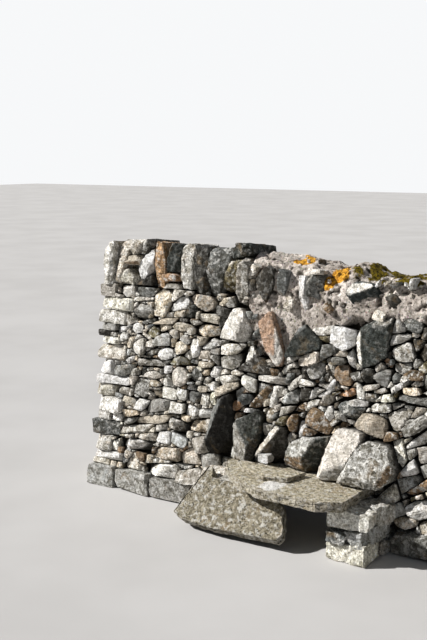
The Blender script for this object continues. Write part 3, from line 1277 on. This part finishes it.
# Share of their height over the bed that the cope stones keep
COPE_KEPT = 0.98
cope_outlines = []
for i, stones in enumerate(COPES, 1):
    name = f"cope_rock_{i}"
    for tone, lichen, faces, *corners in stones:
        outline = metres(corners)
        above = outline[:, 1] > BED
        outline[above, 1] = BED + (outline[above, 1] - BED) * COPE_KEPT
        cope_outlines.append(outline)
        large_stone(FRONT, outline, name, tone, lichen, faces, front=rng.uniform(0.006, 0.02),
                    depth=rng.uniform(0.36, 0.42), grid="boulder" if len(corners) > 5 else "large",
                    taper=0.035, chips=0.3, facets=0.4, spread=0.04, joint=0.002, split=0.2, lit=175)
    stone_piece(name, COPE_SLOTS[stones[0][0]], f"cope_stone_{i}")

# The upright slab on the gateway head, let into its bed a little
SLAB_SEAT = 0.012
slab_front = outline_of("head_slab")
slab_front[slab_front[:, 1] < BED + 0.01, 1] -= SLAB_SEAT
large_stone(FRONT, slab_front, "head_slab_rock", "pale", 0.25, [(-0.12, 0.08)], front=0.035, depth=0.42,
            taper=0.02, chips=0.02, facets=0.0, spread=0.0, grain=0.0055)
stone_piece("head_slab_rock", "stone_pale", "head_slab")

# Ends of the flat stones that tie the faces
for _, points in islands("through_stones"):
    (x0, _, z0), (x1, _, z1) = points.min(0), points.max(0)
    for panel in SIDES.values():
        face_stone(panel, roughened(panel.rect(x0, x1, z0, z1), 0.06, 0.4), rubble_tone(x0), "tie_stones",
                   grid="large", depth=0.33, taper=0.02, front=rng.uniform(0.012, 0.024), split=0.3)
stone_piece("tie_stones", "stone_pale", "through_stones")

# Large stones in the front of the cap, given as the cope stones are
CAP_ROCKS = [
    ("white", 0.0, [(-0.35, 0.1, 0, 0)], (199, 195), (207, 196), (209.5, 172), (206.5, 168), (202.5, 176)),
    ("slate", 0.2, [(0.35, -0.1, 0, 0), (-0.5, 0.9, -0.3, 0.6, "grey")], (208, 181), (220, 178), (222, 196),
     (210, 199)),
    ("iron", 0.2, [(0.3, -0.6, 0, 0), (-0.2, 0.8, 0, 0.62, "white")], (243, 193), (252, 195), (263, 194),
     (270, 186), (269, 180), (252, 174), (249, 176), (242, 184)),
]
for (_, points), (tone, lichen, faces, *corners) in zip(islands("cap_stones"), CAP_ROCKS):
    large_stone(CAP_FRONT, metres(corners), "cap_rocks", tone, lichen, faces, spread=0, split=0, depth=0.12,
                front=-points[:, 1].min() - CAP_FRONT_Y, grain=0.005)
stone_piece("cap_rocks", "stone_pale", "cap_stones")


# Face stones. The mortar of the cap runs down over them to a ragged hem.

def blend_points(x, table):
    """Value at x of a table of (distance from the gateway end, value)."""
    places, values = zip(*table)
    return np.interp(x, [along(d) for d in places], values)


FRONT_HEM = [(1.5, 1.64), (1.53, 1.56), (1.58, 1.47), (1.66, 1.32), (1.88, 1.28), (1.96, 1.40), (2.06, 1.60),
             (2.5, 1.62), (2.8, 1.64), (3.1, 1.66), (3.7, 1.60), (4.2, 1.66), (4.8, 1.62)]


def usual_size(x, z):
    """Usual width and height of a face stone: small and flat by the gateway, larger beyond and low down."""
    share = beyond(x, 1.0, 0.6)
    low = 1.15 if z < 0.5 else 1.0
    return (0.215 + 0.010 * share) * low, (0.080 + 0.036 * share) * low


def usual_lean(x):
    """Usual tilt of a face stone in degrees: level by the gateway, rising to the right beyond."""
    return 26 * beyond(x, 1.1, 0.6)


def piece_of(side, x, z):
    """Piece that a face stone belongs to."""
    if z < COURSE and not CULVERT_X[0] < x < CULVERT_X[1]:
        return "abutment_stones_left" if x < sum(CULVERT_X) / 2 else "abutment_stones_right"
    bay = min(max(int((x - X0) / BAY_L), 0), BAYS - 1) + 1
    return f"{side}_stones_bay_{bay}"


def laid(blocks, taken, field):
    """The blocks that find room, with their outlines."""
    outlines = lay_out(blocks, taken, field, gap=0.003, grow=1.32)
    return [(block, roughened(outline)) for block, outline in zip(blocks, outlines) if outline is not None]


def read_stones(read, fixed):
    """Blocks and outlines of the stones read from the photo, cut off where they meet fixed outlines."""
    found = []
    for tone, *corners in read:
        outline = metres(corners)
        block = Block(*middle(outline), 0.1, 0.1, 0, tone)
        for wall in fixed:
            if len(outline) and overlap(outline, wall):
                outline = part_from(outline, block.centre, edges(wall), 0.003)
        if area(outline) > LEAST_AREA:
            found.append((block, outline))
    return found


def build_face(side, fixed, read, read_blocks, size_at, lean_of, tilt, fine):
    """Lays out one long face beside fixed outlines: the stones read from the photo first, then rows, then
    small ones between. tilt is how much rows vary in their lean, and a high fine gives finer grids."""
    panel = SIDES[side]
    flip = panel.across[0]
    lintels = [corner[0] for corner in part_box("lintel_front")]
    fixed = [panel.rect(*CULVERT_X, 0, CULVERT_H), panel.rect(*lintels, CULVERT_H, COURSE)] + fixed
    field = panel.rect(X0, X1, FOOTING_H, BED)
    start, end = field[:2, 0]
    found = read_stones(read, fixed)
    found += laid([Block(along(d), *rest) for d, *rest in read_blocks],
                  fixed + [outline for _, outline in found], field)
    taken = fixed + [outline for _, outline in found]
    blocks = [block for block in lay_courses(start, end, FOOTING_H, BED, size_at, rubble_tone, lean_of, tilt)
              if block.clash_share(taken) < 0.15]
    rows = laid(blocks, taken, field)
    taken += [outline for _, outline in rows]

    def smallest(x):
        """Smallest radius of a filling stone: none by the quoins."""
        at_end = x < start + 0.05 or x > end - 0.05
        return 1.0 if at_end else 0.015 + 0.003 * (x > X0 + 1.2)

    small = fill_gaps(taken, field, smallest, small_tone, lean_of)
    for k, (block, outline) in enumerate(found + rows + small):
        x, z = flip * block.centre[0], block.centre[1]
        known = k < len(found)
        if side == "front" and not known and x > CAP_X + 0.045 and z > blend_points(x, FRONT_HEM):
            continue
        share = beyond(x, 0.9, 0.6)
        face_stone(panel, outline, block.tone, piece_of(side, x, z), tilt=block.tilt, fine=fine,
                   proud=rng.normal(-0.003, 0.010 + 0.006 * share), split=0.30 + 0.45 * share,
                   chips=0.10 if known else 0.22, facets=0.6 if known else 0.85)


def fixed_outlines(side):
    """Outlines of the quoins and the tie stones on a side."""
    fixed = gateway[side] + far_end[side]
    for _, points in islands("through_stones"):
        (x0, _, z0), (x1, _, z1) = points.min(0), points.max(0)
        fixed.append(SIDES[side].rect(x0, x1, z0, z1))
    return fixed


named_outlines = [outline_of(node) for node in NAMED]
low_copes = [outline for outline in cope_outlines if outline[:, 1].min() < BED]
build_face("front", fixed_outlines("front") + named_outlines + low_copes, OUTLINES, BLOCKS, usual_size,
           usual_lean, tilt=9.0, fine=1.3)
# A small stone lies on the upper lintel, and one closes the notch between the leaning slab and the lintel
seat_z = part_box("lintel_upper")[1][2]
box_stone("front_stones_bay_2", "medium", (1.62, -0.47, seat_z - 0.004), (1.73, -0.36, seat_z + 0.062),
          shade("white"), cut_depth=0.4, lichen=0.0)
box_stone("wing_stones_left", "medium", (1.39, -0.66, CULVERT_H - 0.06), (1.57, -0.53, CULVERT_H - 0.002),
          shade("grey"), cut_depth=0.1)
build_face("back", fixed_outlines("back"), [], [], size_at=lambda x, z: (0.18, 0.10),
           lean_of=lambda x: 3.0, tilt=7.0, fine=0.8)
for side, panel in (("left", CHEEK_LEFT), ("right", CHEEK_RIGHT)):
    name = "abutment_stones_" + side
    field = (-half_w(0), half_w(0), 0, CULVERT_H)
    blocks = lay_courses(*field, size_at=lambda x, z: (0.20, 0.12), tone_of=rubble_tone,
                         lean_of=lambda x: 0.0, tilt=4.0)
    for block, outline in zip(blocks, lay_out(blocks, [], rect(*field))):
        if outline is not None:
            face_stone(panel, roughened(outline), block.tone, name, tilt=block.tilt)
for side in ("left", "right"):
    stone_piece("abutment_stones_" + side, "stone_grey", "abutment_" + side)
for bay in range(1, BAYS + 1):
    stone_piece(f"front_stones_bay_{bay}", "stone_pale", f"front_face_bay_{bay}")
    stone_piece(f"back_stones_bay_{bay}", "stone_grey", f"back_face_bay_{bay}")

# Footings: long flat stones with a ledge, across the ends too. Given are least and most of their length and
# of their inner edge's Y, the gaps beside and under them, and the length and half width of those at the ends.
LEDGE_Y = -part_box("footings")[0][1]
FOOTING_LENGTH = (0.26, 0.46)
LEAST_FOOTING = 0.2
FOOTING_INNER = (0.16, 0.22)
FOOTING_GAP = 0.004
FOOTING_BED = 0.002
END_FOOTING = (0.25, 0.17)
for start, end in ((X0, CULVERT_X[0]), (CULVERT_X[1], X1)):
    for side in (-1, 1):
        x = start
        while x < end - 0.05:
            stop = x + rng.uniform(*FOOTING_LENGTH)
            if end - stop < LEAST_FOOTING:
                stop = end
            y0, y1 = sorted((side * LEDGE_Y, side * rng.uniform(*FOOTING_INNER)))
            box_stone("footing_stones", "long", (x + FOOTING_GAP, y0, FOOTING_BED),
                      (stop - FOOTING_GAP, y1, FOOTING_H), shade(plain_tone()), cut_depth=0.10)
            x = stop
length, half = END_FOOTING
for x0, x1 in ((X0, X0 + length), (X1 - length, X1)):
    box_stone("footing_stones", "long", (x0, -half, FOOTING_BED), (x1, half, FOOTING_H), shade("grey"))
stone_piece("footing_stones", "stone_grey", "footings")


# Wings: short side walls in front of the abutments. The left one is cut off by the slab that leans on it.

def build_wing(side):
    """Courses of stones that run through the wing, with their joints along it and across it in turn."""
    node, piece = "wing_" + side, "wing_stones_" + side
    low, high = (np.array(corner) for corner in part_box(node))
    first = len(STONES)
    levels = low[2] + (high[2] - low[2]) * np.array([0, rng.uniform(0.28, 0.36), rng.uniform(0.64, 0.72), 1])
    for course, (bottom, top) in enumerate(zip(levels, levels[1:])):
        axis = (course + 1) % 2
        joint = low[axis] + (high[axis] - low[axis]) * rng.uniform(0.38, 0.62)
        for start, end in ((low[axis], joint), (joint, high[axis])):
            near, far = np.array([*low[:2], bottom]), np.array([*high[:2], top])
            near[axis], far[axis] = start, end
            near += [rng.uniform(0, 0.03), rng.uniform(0, 0.03), 0.001]
            far -= [rng.uniform(0, 0.03), 0, 0.003]
            box_stone(piece, "boulder", near, far, shade(plain_tone()), skew=0.09, cuts=6, cut_depth=0.14,
                      lumps=0.02, grain=0.006, lichen=rng.uniform(0.2, 0.6))
    sides, _ = islands(node)[0]
    sloping = [(normal, corners[0]) for normal, corners in sides if normal[1] < -0.3 and normal[2] > 0.3]
    if sloping:
        cut_stones(first, *sloping[0])
    stone_piece(piece, "stone_grey", node)


def cut_stones(first, normal, corner, gap=0.004, thinnest=0.015):
    """Cuts the stones from a number on by a plane, and drops those that it leaves too thin."""
    stones = STONES[first:]
    del STONES[first:]
    for stone in stones:
        distance = normal @ (corner - stone["centre"]) - gap
        if distance >= thinnest:
            stone["planes"].append((stone["axes"] @ normal, distance))
            STONES.append(stone)


build_wing("left")
build_wing("right")


# Slabs

def face_outline(node, out):
    """Corners, in order, of the outermost flat face of a node in a direction."""
    mesh = NODES[node].data
    polygons = [p for p in mesh.polygons if np.array(p.normal[:]) @ out > 0.999]
    farthest = max(np.array(p.center[:]) @ out for p in polygons)
    places = {}
    steps = {}
    for polygon in polygons:
        if farthest - np.array(polygon.center[:]) @ out > 0.001:
            continue
        corners = corners_of(mesh, polygon)
        keys = [tuple(round(c, 4) for c in corner) for corner in corners.tolist()]
        places.update(zip(keys, corners))
        steps.update(dict.fromkeys(zip(keys, keys[1:] + keys[:1])))
    border = {a: b for a, b in steps if (b, a) not in steps}
    loop = [next(iter(border))]
    while border[loop[-1]] != loop[0]:
        loop.append(border[loop[-1]])
    return np.array([places[key] for key in loop])


def ray_reach(corners, rays):
    """How far each ray from the origin goes until it meets an outline."""
    reach = np.full(len(rays), np.inf)
    for start, step in zip(corners, np.roll(corners, -1, 0) - corners):
        det = step[0] * rays[:, 1] - step[1] * rays[:, 0]
        safe = np.where(np.abs(det) < 1e-9, 1e-9, det)
        distance = (step[0] * start[1] - step[1] * start[0]) / safe
        share = (rays[:, 0] * start[1] - rays[:, 1] * start[0]) / safe
        hit = (share >= -1e-6) & (share <= 1 + 1e-6) & (distance > 0)
        reach = np.where(hit & (distance < reach), distance, reach)
    return reach


SLAB_TONE = np.array(linear(150, 144, 128))
SLAB_LICHEN = 0.8
# Pale crust on the front lintel: its middle (X, Y) and how far it reaches along the lintel
CRUST_AT = (1.98, -0.80)
CRUST_REACH = 0.10


def plate(name, node, direction, thickness, tone, middle_share=(0.5, 0.5), layers=3, ragged=0.012,
          around=220, crusted=0.0):
    """Slab of bedded stone: uneven top, and edges broken back in layers. Its points lie in rows on rays from
    its middle: out over the top, down the edge and back in below."""
    out = unit(direction)
    across = np.array([1.0, 0, 0])
    up = np.cross(out, across)
    corners = face_outline(node, out)
    flat = np.stack([corners @ across, corners @ up], 1)
    level = corners[0] @ out
    low, high = flat.min(0), flat.max(0)
    centre = low + (high - low) * middle_share
    angles = np.linspace(0, 2 * math.pi, around, endpoint=False)
    rays = np.stack([np.cos(angles), np.sin(angles)], 1)
    reach = ray_reach(flat - centre, rays)
    seed = rng.uniform(0, 40, 3)
    chips = []
    for layer in range(layers):
        spots = np.concatenate([rays * reach[:, None] * 9, np.full((around, 1), seed[0] + 3 * layer)], 1)
        chips.append(np.clip(rough(spots, 1.0, 3) * 2.2, -0.3, 1) * ragged + ragged * 0.5)
    rows = [(reach * share * 0.992, 0.0) for share in (1 - np.linspace(1, 0, 26) ** 1.35)[1:]]
    for layer, chip in enumerate(chips):
        for step in (0.05, 0.5, 0.95):
            bulge = 0.004 * math.sin(math.pi * step)
            rows.append((reach - chip + bulge, (layer + step) / layers * thickness))
    rows += [((reach - chips[-1]) * share, thickness) for share in np.linspace(0.96, 0.0, 12)[:-1]]
    depths = np.repeat([depth for _, depth in rows], around)
    rows = np.array([row for row, _ in rows])
    place = centre + rays * rows[..., None]
    local = np.column_stack([place.reshape(-1, 2), -depths])
    local = np.concatenate([local, [[*centre, 0.0], [*centre, -thickness]]])
    on_top = np.append(depths == 0, [True, False])
    edge_share = np.append(rows / reach, [0, 0])
    waves = rough(local + seed, 0.22, 2) * 0.007 + rough(local + seed, 0.06, 3) * 0.004
    local[:, 2] += np.where(on_top, waves - 0.007 * edge_share ** 6 - 0.002, waves * 0.3)
    wobble = rough(local + seed[::-1], 0.03, 2) * 0.003
    local[:, :2] += np.where(on_top, 0, wobble)[:, None] * unit_rows(local[:, :2] - centre)
    world = local[:, :1] * across + local[:, 1:2] * up + (local[:, 2:] + level) * out
    edge = np.clip(edge_share * 12 - 11, 0, 1) * 0.6
    wear = np.stack([edge, np.where(on_top, 0, 0.22), np.full(len(local), 0.1)], 1)
    near = np.hypot(world[:, 0] - CRUST_AT[0], (world[:, 1] - CRUST_AT[1]) / 1.4) / CRUST_REACH
    near += 0.35 * rough(world, 0.07, 2)
    pale = (np.clip((1 - near) * 5, 0, 1) * on_top * crusted)[:, None]
    tones = np.repeat([[*tone, SLAB_LICHEN]], len(local), 0)
    tones[:, :3] += (np.array(TONES["white"]) - tones[:, :3]) * pale
    tones[:, 3:] *= 1 - pale
    mesh = make_mesh(name, world, tube_quads(len(rows), around),
                     {"tone": tones, "grain": local + seed, "wear": wear})
    add_piece(name, mesh, SLAB_MATERIAL, "slab_buff", node)


SLAB_LEAN = math.radians(43)
plate("leaning_slab_rock", "leaning_slab", (0, -math.cos(SLAB_LEAN), math.sin(SLAB_LEAN)), 0.085, SLAB_TONE,
      middle_share=(0.29, 0.45), layers=4)
plate("lintel_rock_front", "lintel_front", (0, 0, 1), 0.078, SLAB_TONE * 1.62, crusted=1.0)
plate("lintel_rock_upper", "lintel_upper", (0, 0, 1), 0.035, SLAB_TONE * 1.75, layers=2, around=140,
      ragged=0.008)
for _, points in islands("lintels_inner"):
    box_stone("lintel_rocks_inner", "long", points.min(0), points.max(0), shade("grey"), cut_depth=0.06)
stone_piece("lintel_rocks_inner", "stone_grey", "lintels_inner")


# Small filling behind the faces, seen only as dark rubble in the joints

def core_box(x0, x1, z0, z1, half=0.3, cell=0.055, behind=0.075):
    """Points and quads of a lumpy box in the wall, whose sides lie behind its faces."""
    low, high = np.array([x0, -half, z0]), np.array([x1, half, z1])
    directions, quads = box_grid(*[even(max(int(n), 1)) for n in (high - low) / cell])
    points = (low + high) / 2 + directions * (high - low) / 2
    lumps = np.abs(rough(points, 0.09, 2)) * 0.05
    points -= unit_rows(directions) * lumps[:, None]
    points[:, 1] *= (half_w(points[:, 2]) - behind) / half
    return points, quads


def build_hearting(end=0.06, cheek=0.07, foot=0.02, top=0.02):
    """Rubble over and beside the culvert, set in from the ends, the culvert, the ground and the cope bed."""
    points, quads = joined([core_box(X0 + end, X1 - end, COURSE, BED - top),
                            core_box(X0 + end, CULVERT_X[0] - cheek, foot, COURSE),
                            core_box(CULVERT_X[1] + cheek, X1 - end, foot, COURSE)])
    count = len(points)
    mesh = make_mesh("hearting_rubble", points, quads, {
        "tone": np.tile([*linear(58, 52, 45), 0.0], (count, 1)), "grain": points,
        "wear": np.tile([0.0, 0.6, 0.2], (count, 1))})
    add_piece("hearting_rubble", mesh, STONE_MATERIAL, "stone_dark", "hearting")


build_hearting()


# Mortared cap: one lumpy skin over the bed, whose ragged skirts run down both faces

# Height of the ridge and of the back hem by distance from the gateway end
RIDGE = [(1.5, 2.08), (1.55, 2.095), (1.75, 2.065), (1.95, 2.07), (2.1, 2.065), (2.2, 2.04), (2.28, 2.01),
         (2.4, 2.04), (2.5, 2.035), (2.6, 1.975), (2.7, 1.955), (2.85, 1.985), (3.0, 1.975), (3.6, 1.975),
         (4.1, 1.935), (4.8, 1.945)]
BACK_HEM = [(1.5, 1.70), (2.4, 1.64), (3.3, 1.68), (4.0, 1.62), (4.8, 1.68)]
# How mossy the cap is by distance, and its patches of orange lichen: distance, height, reach along and up
MOSS = [(2.35, 0), (2.5, 1), (3.1, 1), (3.3, 0.2), (3.9, 0.7), (4.1, 0.8), (4.4, 0.2)]
ORANGE = [(2.24, 1.91, 0.07, 0.06), (2.33, 1.97, 0.09, 0.06), (1.96, 2.05, 0.09, 0.025),
          (3.42, 1.95, 0.10, 0.06), (4.20, 1.90, 0.08, 0.06)]
# Section from the front hem to the back one: y, fixed height, and share of the ridge's height above the bed
CROWN = [(-0.25, 0.25), (-0.228, 0.60), (-0.165, 0.88), (-0.06, 0.985), (0.05, 1.0), (0.16, 0.90),
         (0.226, 0.62), (0.25, 0.28)]
SECTION = [*[(-half_w(z), z, 0) for z in (1.2, 1.45, 1.65, BED)], *[(y, BED, share) for y, share in CROWN],
           *[(half_w(z), z, 0) for z in (BED, 1.52)]]
# In metres: the section's length, the size of the skin's quads, and the depth of its pits
SECTION_RUN = 1.80
CAP_CELL = 0.0125
PIT_DEPTH = 0.022


def smooth_section(steps, passes=6):
    """Section points at even steps, with the corners eased."""
    points = np.array(SECTION)
    usual = points[:, 1] + 0.25 * points[:, 2]
    run = np.concatenate([[0], np.cumsum(np.hypot(np.diff(points[:, 0]), np.diff(usual)))])
    at = np.linspace(0, run[-1], steps)
    rows = np.stack([np.interp(at, run, points[:, k]) for k in range(3)], 1)
    for _ in range(passes):
        rows[1:-1] = (rows[:-2] + 2 * rows[1:-1] + rows[2:]) / 4
    return rows


def cap_sheet(columns, section, on_face):
    """The cap before its lumps: a section at each column, ragged at the start where it lies on the faces."""
    still = columns * 0
    ridge = blend_points(columns, RIDGE) + 0.010 * rough(np.stack([columns, still + 3, still], 1), 0.30, 2)
    still = section[:, 0] * 0
    ragged = 0.015 + 0.07 * rough(np.stack([section[:, 1] * 9, still, still], 1), 1.0)
    ragged = np.clip(ragged, 0, 0.045) * on_face
    sheet = np.zeros((len(columns), len(section), 3))
    sheet[..., 0] = columns[:, None] + ragged * np.clip(1 - (columns - columns[0]) / 0.2, 0, 1)[:, None]
    sheet[..., 1] = section[:, 0]
    sheet[..., 2] = section[:, 1] + section[:, 2] * (ridge[:, None] - BED)
    return sheet


def cap_moss(sheet, normal, columns):
    """Share of moss at each point: on the top, and not on the steep front."""
    height = sheet[..., 2] - BED
    bed = blend_points(columns, MOSS)[:, None]
    moss = bed * np.clip((height - 0.13) / 0.06, 0, 1) * (0.70 + 0.6 * rough(sheet + 31, 0.10, 2))
    return np.clip(moss - np.clip(-normal[..., 1] - 0.75, 0, 1) * 3, 0, 1)


def cap_orange(sheet):
    """Share of orange lichen at each point of the front and the top."""
    orange = np.zeros(sheet.shape[:2])
    for d, z, wide, tall in ORANGE:
        reach = ((sheet[..., 0] - along(d)) / wide) ** 2 + ((sheet[..., 2] - z) / tall) ** 2
        orange = np.maximum(orange, np.clip(1.25 - reach, 0, 1) * (sheet[..., 1] < 0.03))
    return orange


def build_cap():
    columns = np.arange(CAP_X - 0.01, X1 - 0.005, CAP_CELL)
    section = smooth_section(int(SECTION_RUN / CAP_CELL))
    on_face = section[:, 2] < 0.02
    sheet = cap_sheet(columns, section, on_face)
    normal = unit_rows(np.cross([1.0, 0, 0], np.gradient(sheet, axis=1)))
    lumps = 0.020 * rough(sheet, 0.24, 2) + 0.014 * rough(sheet + 5, 0.085, 3)
    lumps += 0.012 * np.abs(rough(sheet + 2, 0.055, 2))
    pits = np.clip((rough(sheet + 9, 0.055, 2) - 0.30) * 4, 0, 1) * PIT_DEPTH
    shift = lumps - pits + 0.004
    stand = np.interp(sheet[..., 2], [1.40, 1.60, 1.74], [-0.030, -0.016, 0.006])
    front_hem, back_hem = (blend_points(columns, table)[:, None] for table in (FRONT_HEM, BACK_HEM))
    hem = np.where(section[:, 0] < 0, front_hem, back_hem)
    hem_noise = 0.075 * rough(sheet * [1, 1, 0.4] + 21, 0.16, 3)
    below = np.clip((hem + hem_noise - sheet[..., 2]) / 0.035, 0, 1)
    shift = np.where(on_face, 0.4 * shift + stand, shift) - 0.085 * below
    moss = cap_moss(sheet, normal, columns)
    shift = shift + moss * (0.010 + 0.010 * np.abs(rough(sheet + 3, 0.022, 2)))
    points = sheet + normal * shift[..., None]

    # The ends are drawn in towards a core
    full = np.clip((columns - columns[0]) / 0.02, 0, 1) * np.clip((columns[-1] - columns) / 0.03, 0, 1)
    full = np.sqrt(full)[:, None, None]
    core_foot = BED - 0.3
    core = np.stack([np.broadcast_to(columns[:, None], sheet.shape[:2]), sheet[..., 1] * 0.72,
                     core_foot + (sheet[..., 2] - BED + 0.3) * 0.85], -1)
    points = core + (points - core) * (0.55 + 0.45 * full)

    # The skirts turn in below, and the skin closes round
    turned_in = [1, 0.6, 1]
    ring = np.concatenate([points, points[:, -1:] * turned_in, points[:, :1] * turned_in], 1)
    growth = np.stack([moss, cap_orange(sheet), pits / PIT_DEPTH], -1)
    growth = np.concatenate([growth, growth[:, -1:], growth[:, :1]], 1)
    places = np.concatenate([ring.reshape(-1, 3), [ring[0].mean(0), ring[-1].mean(0)]])
    growth = np.concatenate([growth.reshape(-1, 3), np.zeros((2, 3))])
    mesh = make_mesh("mortar_cap", places, tube_quads(*ring.shape[:2]), {"grain": places, "growth": growth},
                     sharp_angle=50)
    add_piece("mortar_cap", mesh, mortar_material(), "mortar",
              *[f"cap_bay_{bay}" for bay in range(2, BAYS + 1)])


build_cap()


def cap_top(x, y):
    """Place on the top of the cap."""
    return np.array([x, y, blend_points(x, RIDGE) - 0.4 * y * y - 0.004])


CAP_TOP = Panel(cap_top, (1, 0, 0), (0, 1, 0))
# Stones bedded in the front of the cap, read as the face stones are
CAP_OUTLINES = [
    ("dark", (160, 190), (166, 180), (172, 172), (178, 186), (178, 199), (172, 202)),
    ("slate", (180, 180), (186, 176), (192, 188), (192, 198), (186, 200)),
    ("pale", (152, 192), (158, 190), (166, 200), (160, 203)),
    ("dark", (154, 180), (163, 181), (162, 190), (155, 190)),
    ("grey", (150, 176), (155, 177), (156, 200), (152, 204), (150, 195)),
    ("white", (211, 198), (223, 198), (222, 201), (212, 201.5)),
    ("dark", (272, 185), (280, 188), (286, 183), (285, 178), (280, 176)),
    ("slate", (277, 192), (284, 193), (284, 197), (278, 196)),
    ("white", (292, 192), (295, 192), (295.5, 200), (292.5, 200)),
    ("pale", (188, 170), (195, 168), (198, 176), (192, 181)),
    ("brown", (222, 172), (228, 168), (232, 172), (226, 178)),
    ("pale", (262, 168), (272, 166), (275, 173), (266, 176)),
    ("white", (305, 184), (318, 181), (321, 188), (309, 191)),
    ("slate", (330, 176), (338, 174), (343, 192), (334, 196)),
    ("grey", (352, 182), (368, 179), (371, 190), (358, 193)),
    ("dark", (384, 178), (392, 177), (394, 193), (386, 195)),
    ("white", (408, 184), (420, 182), (422, 188), (411, 191)),
    ("slate", (432, 176), (446, 178), (442, 190), (434, 190)),
    ("pale", (456, 178), (466, 177), (468, 189), (458, 191)),
]
for tone, *corners in CAP_OUTLINES:
    face_stone(CAP_FRONT, metres(corners), tone, "cap_pebbles", front=rng.uniform(0.042, 0.056), depth=0.09,
               chips=0.15, facets=0.5, split=0.2, fine=1.4)
# Shards all over it
SHARDS = 190
LEAST_SHARD = 1.5e-4
for _ in range(SHARDS):
    size = rng.uniform(0.014, 0.045)
    x = rng.uniform(CAP_X + 0.03, X1 - 0.05)
    panel, across, up = CAP_FRONT, x, rng.uniform(1.74, 1.95)
    kind = rng.random()
    if kind > 0.82:
        panel, up = CAP_TOP, rng.uniform(-0.15, 0.15)
    elif kind > 0.58:
        panel, across = CAP_BACK, -x
    outline = shard(across, up, size * rng.uniform(1.2, 2.2), size, rng.uniform(0, 3.1))
    if area(outline) > LEAST_SHARD:
        face_stone(panel, outline, dark_tone(), "cap_pebbles", front=0.4 * size, depth=size)
stone_piece("cap_pebbles", "stone_grey")


# Floor, backdrop and light

# The sun's direction as seen from the wall, its strength and its width in degrees
SUN_FROM = (-0.68, -0.44, 0.585)
SUN_STRENGTH = 6.1
SUN_WIDTH = 1.5
SUN_COLOUR = (1.0, 0.985, 0.975)
SKY_COLOUR = (0.80, 0.87, 1.0, 1)
SKY_STRENGTH = 0.15
BACKDROP_COLOUR = (0.93, 0.94, 0.95, 1)
FLOOR_COLOURS = ((0.48, 0.47, 0.455), (0.53, 0.52, 0.505))
FLOOR_REACH = 60.0


def build_floor():
    mesh = bpy.data.meshes.new("floor")
    corners = [(x * FLOOR_REACH, y * FLOOR_REACH, 0) for x, y in ((-1, -1), (1, -1), (1, 1), (-1, 1))]
    mesh.from_pydata(corners, [], [(0, 1, 2, 3)])
    floor = add_object("floor", mesh)
    n = Nodes(bpy.data.materials.new("pale_floor"))
    place = n.add("TexCoord").outputs["Object"]
    colour = n.ramp_colour(n.noise(place, 0.6, 3.0), 0.3, 0.7, *FLOOR_COLOURS)
    mesh.materials.append(n.finish(colour, 0.95, n.noise(place, 40.0), 0.05, 0.01, 0.1))


def build_world():
    """A sky that lights the wall dimly, and a pale backdrop for the camera."""
    bpy.context.scene.world = bpy.data.worlds.new("studio")
    n = Nodes(bpy.context.scene.world)
    path = n.add("LightPath").outputs
    seen = n.math("MAXIMUM", path["Is Camera Ray"], path["Is Transmission Ray"])
    seen = n.math("MAXIMUM", seen, path["Is Glossy Ray"])
    sky = n.add("Background", {0: SKY_COLOUR, 1: SKY_STRENGTH}).outputs[0]
    backdrop = n.add("Background", {0: BACKDROP_COLOUR, 1: 1.0}).outputs[0]
    n.add("OutputWorld", {0: n.add("MixShader", {0: seen, 1: sky, 2: backdrop}).outputs[0]})


def build_sun():
    sun = bpy.data.lights.new("key", "SUN")
    sun.energy = SUN_STRENGTH
    sun.angle = math.radians(SUN_WIDTH)
    sun.color = SUN_COLOUR
    x, y, z = unit(SUN_FROM)
    add_object("key", sun).rotation_euler = (math.acos(z), 0, math.atan2(y, x) + math.pi / 2)


build_floor()
build_world()
build_sun()
bpy.context.scene.view_settings.view_transform = "Standard"
